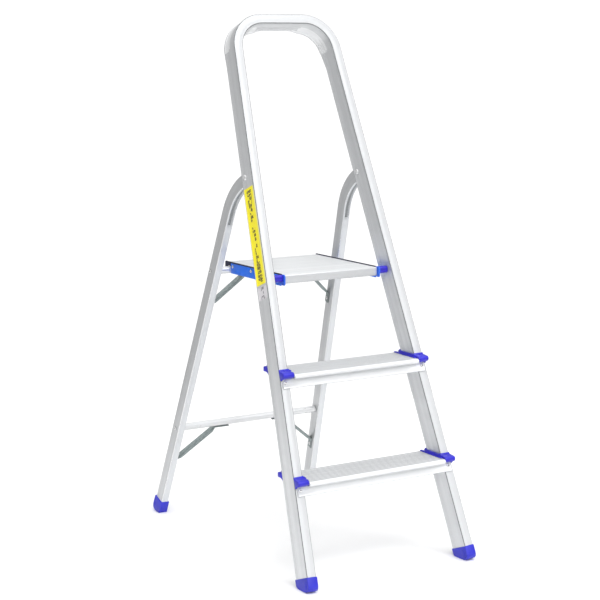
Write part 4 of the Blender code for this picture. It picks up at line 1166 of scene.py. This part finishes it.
# ------------------------------------------------------------------ platform
ID = Matrix.Identity(4)
WORLD_YZ = frame_matrix((0, 1, 0), (0, 0, 1), (0, 0, 0))
tube_c = rear(0, *TUBES["upper"])
deck = block((-DECK_HALF, DECK_FRONT, DECK_TOP - 0.0210), (DECK_HALF, DECK_REAR, DECK_TOP), ID,
             0.0034, 5)
deck = cut(deck,
           block((-DECK_HALF + DECK_SKIN, DECK_FRONT + DECK_SKIN, DECK_TOP - 0.05),
                 (DECK_HALF - DECK_SKIN, DECK_REAR - DECK_SKIN, DECK_TOP - DECK_SKIN), ID,
                 0.0016, 3),
           block((-0.2, tube_c.y - 0.030, DECK_TOP - 0.05),
                 (0.2, DECK_REAR + 0.02, tube_c.z + TUBE_R + 0.0012), ID))
ribs = []
for ya in (-0.085, -0.045, -0.005, 0.035, 0.070):
    ribs.append(prism([(ya, DECK_TOP - 0.0008), (ya + 0.0005, DECK_TOP - 0.0090),
                       (ya + 0.0035, DECK_TOP - 0.0090), (ya + 0.0040, DECK_TOP - 0.0008)],
                      WORLD_YZ @ Matrix.Translation((SHIFT, 0, 0)), -DECK_HALF + 0.0012,
                      DECK_HALF - 0.0012, 0.0004, 1))
deck = merge(deck, *ribs)
grain(deck, X)
# painted shade: faces turned to the front take the darker hoop aluminium
for f in deck.faces:
    if f.normal.y < -0.6:
        f.material_index = 1
place("platform_sheet_pan", deck, [ALU_DECK, ALU], PF, "platform_deck", sharp=35)

mouth = tube_c.y - TUBE_R - 0.0008
tail = DECK_REAR + 0.0030
low, high = DECK_TOP - 0.0270, DECK_TOP + 0.0020
roof = tube_c.z + TUBE_R + 0.0007
front_y = -0.1379 + SHIFT
for side, tag in SIDES:
    # hook bar in near-black navy, painted shade for the gap along the deck's edge and under the leg: it runs along the
    # deck's edge and reaches over the upper tube
    bar = [(front_y + 0.001, DECK_TOP - 0.0180), (mouth - 0.0190, DECK_TOP - 0.0180),
           (mouth - 0.0120, low + 0.0016), (mouth - 0.0105, low), (mouth - 0.0085, low),
           (mouth - 0.0070, low + 0.0010), (mouth, tube_c.z + 0.0030),
           (mouth + 0.0004, tube_c.z + 0.0070), (mouth + 0.0030, roof)]
    bar += [(tube_c.y + TUBE_R - 0.0022, roof), (tube_c.y + TUBE_R + 0.0008, tube_c.z + 0.0075),
            (tube_c.y + TUBE_R + 0.0018, tube_c.z + 0.0055), (tail - 0.001, tube_c.z + 0.0055),
            (tail, tube_c.z + 0.0065), (tail, high - 0.0035), (tail - 0.0010, high - 0.0012),
            (tail - 0.0030, high), (front_y + 0.001, high)]
    xa, xb = DECK_HALF - 0.0002, DECK_HALF + GAP + 0.0015
    liner = prism(bar, WORLD_YZ, *sorted((side * xa, side * xb)), 0.0002, 1)
    grain(liner, (0, 1, 0))
    # painted strip outside it, with a pressed edge
    y_end = mouth + 0.0020
    strip = [(front_y, low + 0.0005), (front_y + 0.0006, low), (y_end - 0.0012, low),
             (y_end, low + 0.0012), (y_end, high - 0.0046), (y_end - 0.0012, high - 0.0034),
             (front_y + 0.0006, high - 0.0032), (front_y, high - 0.0037)]
    xo = DECK_HALF + GAP + BRACKET_T
    plate = prism(strip, WORLD_YZ, *sorted((side * (xb - 0.0001), side * xo)), 0.0005, 2)
    groove = prism([(front_y + 0.006, low + 0.0046), (y_end - 0.020, low + 0.0046),
                    (y_end - 0.020, low + 0.0056), (front_y + 0.006, low + 0.0056)], WORLD_YZ,
                   *sorted((side * (xo - 0.0003), side * (xo + 0.001))))
    plate = cut(plate, groove)
    grain(plate, (0, 1, 0))
    for f in plate.faces:
        f.material_index = 0
    for f in liner.faces:
        f.material_index = 1
    append(plate, liner)
    place("platform_side_strip_" + tag, plate, [AZURE, NAVY_SHADE], PF, "platform_bracket_" + tag,
          sharp=30)
    for k, yr in enumerate((0.1000, 0.0084)):
        pt = Vector((side * (xo - 0.0001), yr + SHIFT, 0.6772))
        which = "rear" if k == 0 else "front"
        place("strip_rivet_%s_%s" % (which, tag), rivet_bm(pt, X * side, 0.0040, 0.0016),
              [RIVET, MANDREL_AND_SHADE], PF, "platform_rivet_%s_%s" % (which, tag), sharp=50)
    # pivot bush
    x0 = DECK_HALF + GAP
    s_p = (DECK_PIVOT.z + 0.0180 * S(FRONT_LEAN)) / C(FRONT_LEAN)
    x_in = hoop_half(s_p) - STILE_W
    ya, yb = -0.1540 + SHIFT, -0.1385 + SHIFT
    za, zb = DECK_TOP - 0.0245, DECK_TOP + 0.0018
    flange = prism(round_rect(ya, za, yb, zb, 0.0050, 6), WORLD_YZ,
                   *sorted((side * x0, side * (x0 + 0.0034))), 0.0010, 3)
    dish = prism(round_rect(ya + 0.0028, za + 0.0028, yb - 0.0028, zb - 0.0028, 0.0032, 5),
                 WORLD_YZ, *sorted((side * (x0 + 0.0026), side * (x0 + 0.006))), 0.0)
    flange = cut(flange, dish)
    c = DECK_PIVOT
    boss = prism(round_rect(c.y - 0.0074, c.z - 0.0086, c.y + 0.0074, c.z + 0.0086, 0.0050, 7),
                 WORLD_YZ, *sorted((side * (x0 + 0.0012), side * (x_in - 0.0010))), 0.0012, 3)
    flutes = []
    for dy, dz in ((-0.0074, 0), (0.0074, 0), (0, -0.0086), (0, 0.0086)):
        flutes.append(prism(round_rect(c.y + dy - 0.0014, c.z + dz - 0.0014, c.y + dy + 0.0014,
                                       c.z + dz + 0.0014, 0.0010, 3), WORLD_YZ,
                            *sorted((side * (x0 + 0.0056), side * (x_in - 0.0026)))))
    boss = cut(boss, *flutes)
    for f in boss.faces:
        f.material_index = 1
    for f in flange.faces:
        f.material_index = 0
    append(flange, boss)
    place("pivot_bush_" + tag, flange, [AZURE_PLASTIC, BLUE_BUSH], PF,
          "platform_pivot_bush_" + tag, sharp=30)
    head = x_in + 0.0016 + 0.0009
    length = head - 0.1200
    pin = [(0, 0.0040), (0.0024, 0.0039), (0.0044, 0.0033), (0.0055, 0.0024), (0.0060, 0.0012),
           (0.0060, 0.0), (0.0033, 0.0), (0.0033, -length + 0.0006), (0.0027, -length),
           (0, -length)]
    place("pivot_pin_" + tag, turned(pin, facing(c + X * side * head, X * side), 32), RIVET, PF,
          "platform_pivot_pin_" + tag, sharp=50)

# ------------------------------------------------------------------ stickers on the left stile
sf = stile_frame(-1)


def sticker_piece(s0, s1, d0, d1):
    """Thin film laid over the flange's face, corners rounded."""
    n = 26
    rows = []
    for i in range(n + 1):
        s = s0 + (s1 - s0) * i / n
        edge = min(s - s0, s1 - s)
        r = 0.0030
        inset = r - math.sqrt(max(0.0, r * r - (r - edge) ** 2)) if edge < r else 0.0
        rows.append((s, inset))
    rows = sorted(set([(s0, 0.0030), (s0 + 0.0005, 0.0013), (s0 + 0.0013, 0.0005),
                       (s1, 0.0030), (s1 - 0.0005, 0.0013), (s1 - 0.0013, 0.0005)]
                      + [r for r in rows if 0.003 < r[0] - s0 and 0.003 < s1 - r[0]]
                      + [(s0 + 0.003, 0.0), (s1 - 0.003, 0.0)]))
    base = [d0, 0.0046, 0.0051, 0.0056, 0.0080, 0.0120, 0.0165, 0.0210, 0.0255, 0.0300, 0.0345,
            0.0390, STILE_D - 0.0082, STILE_D - 0.0077, STILE_D - 0.0072, d1]
    base = sorted(d for d in base if d0 <= d <= d1)
    bm = bmesh.new()
    layer = flow_layer(bm)
    rings = []
    flows = []
    for s, inset in rows:
        ds = [min(max(d, d0 + inset), d1 - inset) for d in base]
        ds = [d + 1e-6 * i for i, d in enumerate(ds)]
        outer = [sf @ Vector((-STILE_W / 2 - 0.00030 + recess(d), s, -d)) for d in ds]
        under = [sf @ Vector((-STILE_W / 2 - 0.00006 + recess(d), s, -d)) for d in reversed(ds)]
        rings.append(outer + under)
        flows.append([(d, s) for d in ds] + [(d, s) for d in reversed(ds)])
    vs = [[bm.verts.new(p) for p in ring] for ring in rings]
    m = len(rings[0])
    place_of = {}
    for i in range(len(rings)):
        for j in range(m):
            place_of[vs[i][j]] = flows[i][j]
    for i in range(len(rings) - 1):
        for j in range(m):
            k = (j + 1) % m
            bm.faces.new((vs[i][j], vs[i][k], vs[i + 1][k], vs[i + 1][j]))
    bm.faces.new(list(reversed(vs[0])))
    bm.faces.new(vs[-1])
    for f in bm.faces:
        for loop in f.loops:
            d, s = place_of[loop.vert]
            loop[layer] = Vector((d - d0, 0.0, s - s0))
    return bm


place("yellow_sticker", sticker_piece(0.7290, 0.9680, 0.0030, 0.0490), YELLOW, FF,
      "instruction_label", weld=0, recalc=True)
place("pale_sticker", sticker_piece(0.6930, 0.7240, 0.0050, 0.0470), PALE, FF, "small_label",
      weld=0, recalc=True)

# ------------------------------------------------------------------ camera, floor and light
scene = bpy.context.scene
cam = bpy.data.objects.new("camera", bpy.data.cameras.new("camera"))
scene.collection.objects.link(cam)
az, el, dist = math.radians(-31.3732), math.radians(9.2573), 3.9759
target = Vector((0, SHIFT, 0.5956))
away = Vector((S(az) * C(el), -C(az) * C(el), S(el)))
cam.location = target + away * dist
cam.rotation_euler = (-away).to_track_quat("-Z", "Y").to_euler()
cam.data.sensor_width = 36
cam.data.lens = 1591.70 * 36 / 600
scene.camera = cam

t = Tree("floor_paper")
cloud = t.noise(t.own(), 1.3, 4.0, 0.5)
fibre = t.noise(t.own(), 420.0, 3.0, 0.6)
t.set(Base_Color=t.mix(cloud, (0.885, 0.885, 0.885), (0.90, 0.90, 0.90)),
      Roughness=t.ramp(fibre, 0.3, 0.7, 0.85, 0.95), Normal=t.bump(fibre, 0.02, 0.0005))
t.shader.inputs["Specular IOR Level"].default_value = 0.1
bm = bmesh.new()
ring = [bm.verts.new((1.7 * C(2 * math.pi * i / 96), 1.7 * S(2 * math.pi * i / 96), 0))
        for i in range(96)]
bm.faces.new(ring)
floor = to_object("floor", bm)
floor.data.materials.append(t.mat)


def sun(name, direction, strength, angle, colour=(1, 1, 1)):
    data = bpy.data.lights.new(name, "SUN")
    data.energy, data.angle, data.color = strength, math.radians(angle), colour
    ob = bpy.data.objects.new(name, data)
    ob.rotation_euler = Vector(direction).to_track_quat("Z", "Y").to_euler()
    scene.collection.objects.link(ob)
    return ob


sun("key", (-0.04, -0.66, 0.66), 2.35, 62)
sun("top", (0.0, 0.05, 1.0), 1.75, 100)

world = bpy.data.worlds.new("studio")
scene.world = world
world.use_nodes = True
nt = world.node_tree
bg = nt.nodes["Background"]
bg.inputs[0].default_value = (1.0, 1.0, 1.0, 1.0)
bg.inputs[1].default_value = 0.50
sky = nt.nodes.new("ShaderNodeTexCoord")
up = nt.nodes.new("ShaderNodeSeparateXYZ")
tone = nt.nodes.new("ShaderNodeMapRange")
tone.inputs["From Min"].default_value, tone.inputs["From Max"].default_value = -0.10, 0.70
tone.inputs["To Min"].default_value, tone.inputs["To Max"].default_value = 0.50, 0.36
nt.links.new(sky.outputs["Generated"], up.inputs[0])
nt.links.new(up.outputs[2], tone.inputs["Value"])
nt.links.new(tone.outputs[0], bg.inputs[1])
seen = nt.nodes.new("ShaderNodeBackground")
seen.inputs[0].default_value = (1.0, 1.0, 1.0, 1.0)
seen.inputs[1].default_value = 1.1
mixer = nt.nodes.new("ShaderNodeMixShader")
path = nt.nodes.new("ShaderNodeLightPath")
nt.links.new(path.outputs["Is Camera Ray"], mixer.inputs[0])
nt.links.new(bg.outputs[0], mixer.inputs[1])
nt.links.new(seen.outputs[0], mixer.inputs[2])
nt.links.new(mixer.outputs[0], nt.nodes["World Output"].inputs[0])
scene.view_settings.view_transform = "Standard"
scene.view_settings.look = "None"
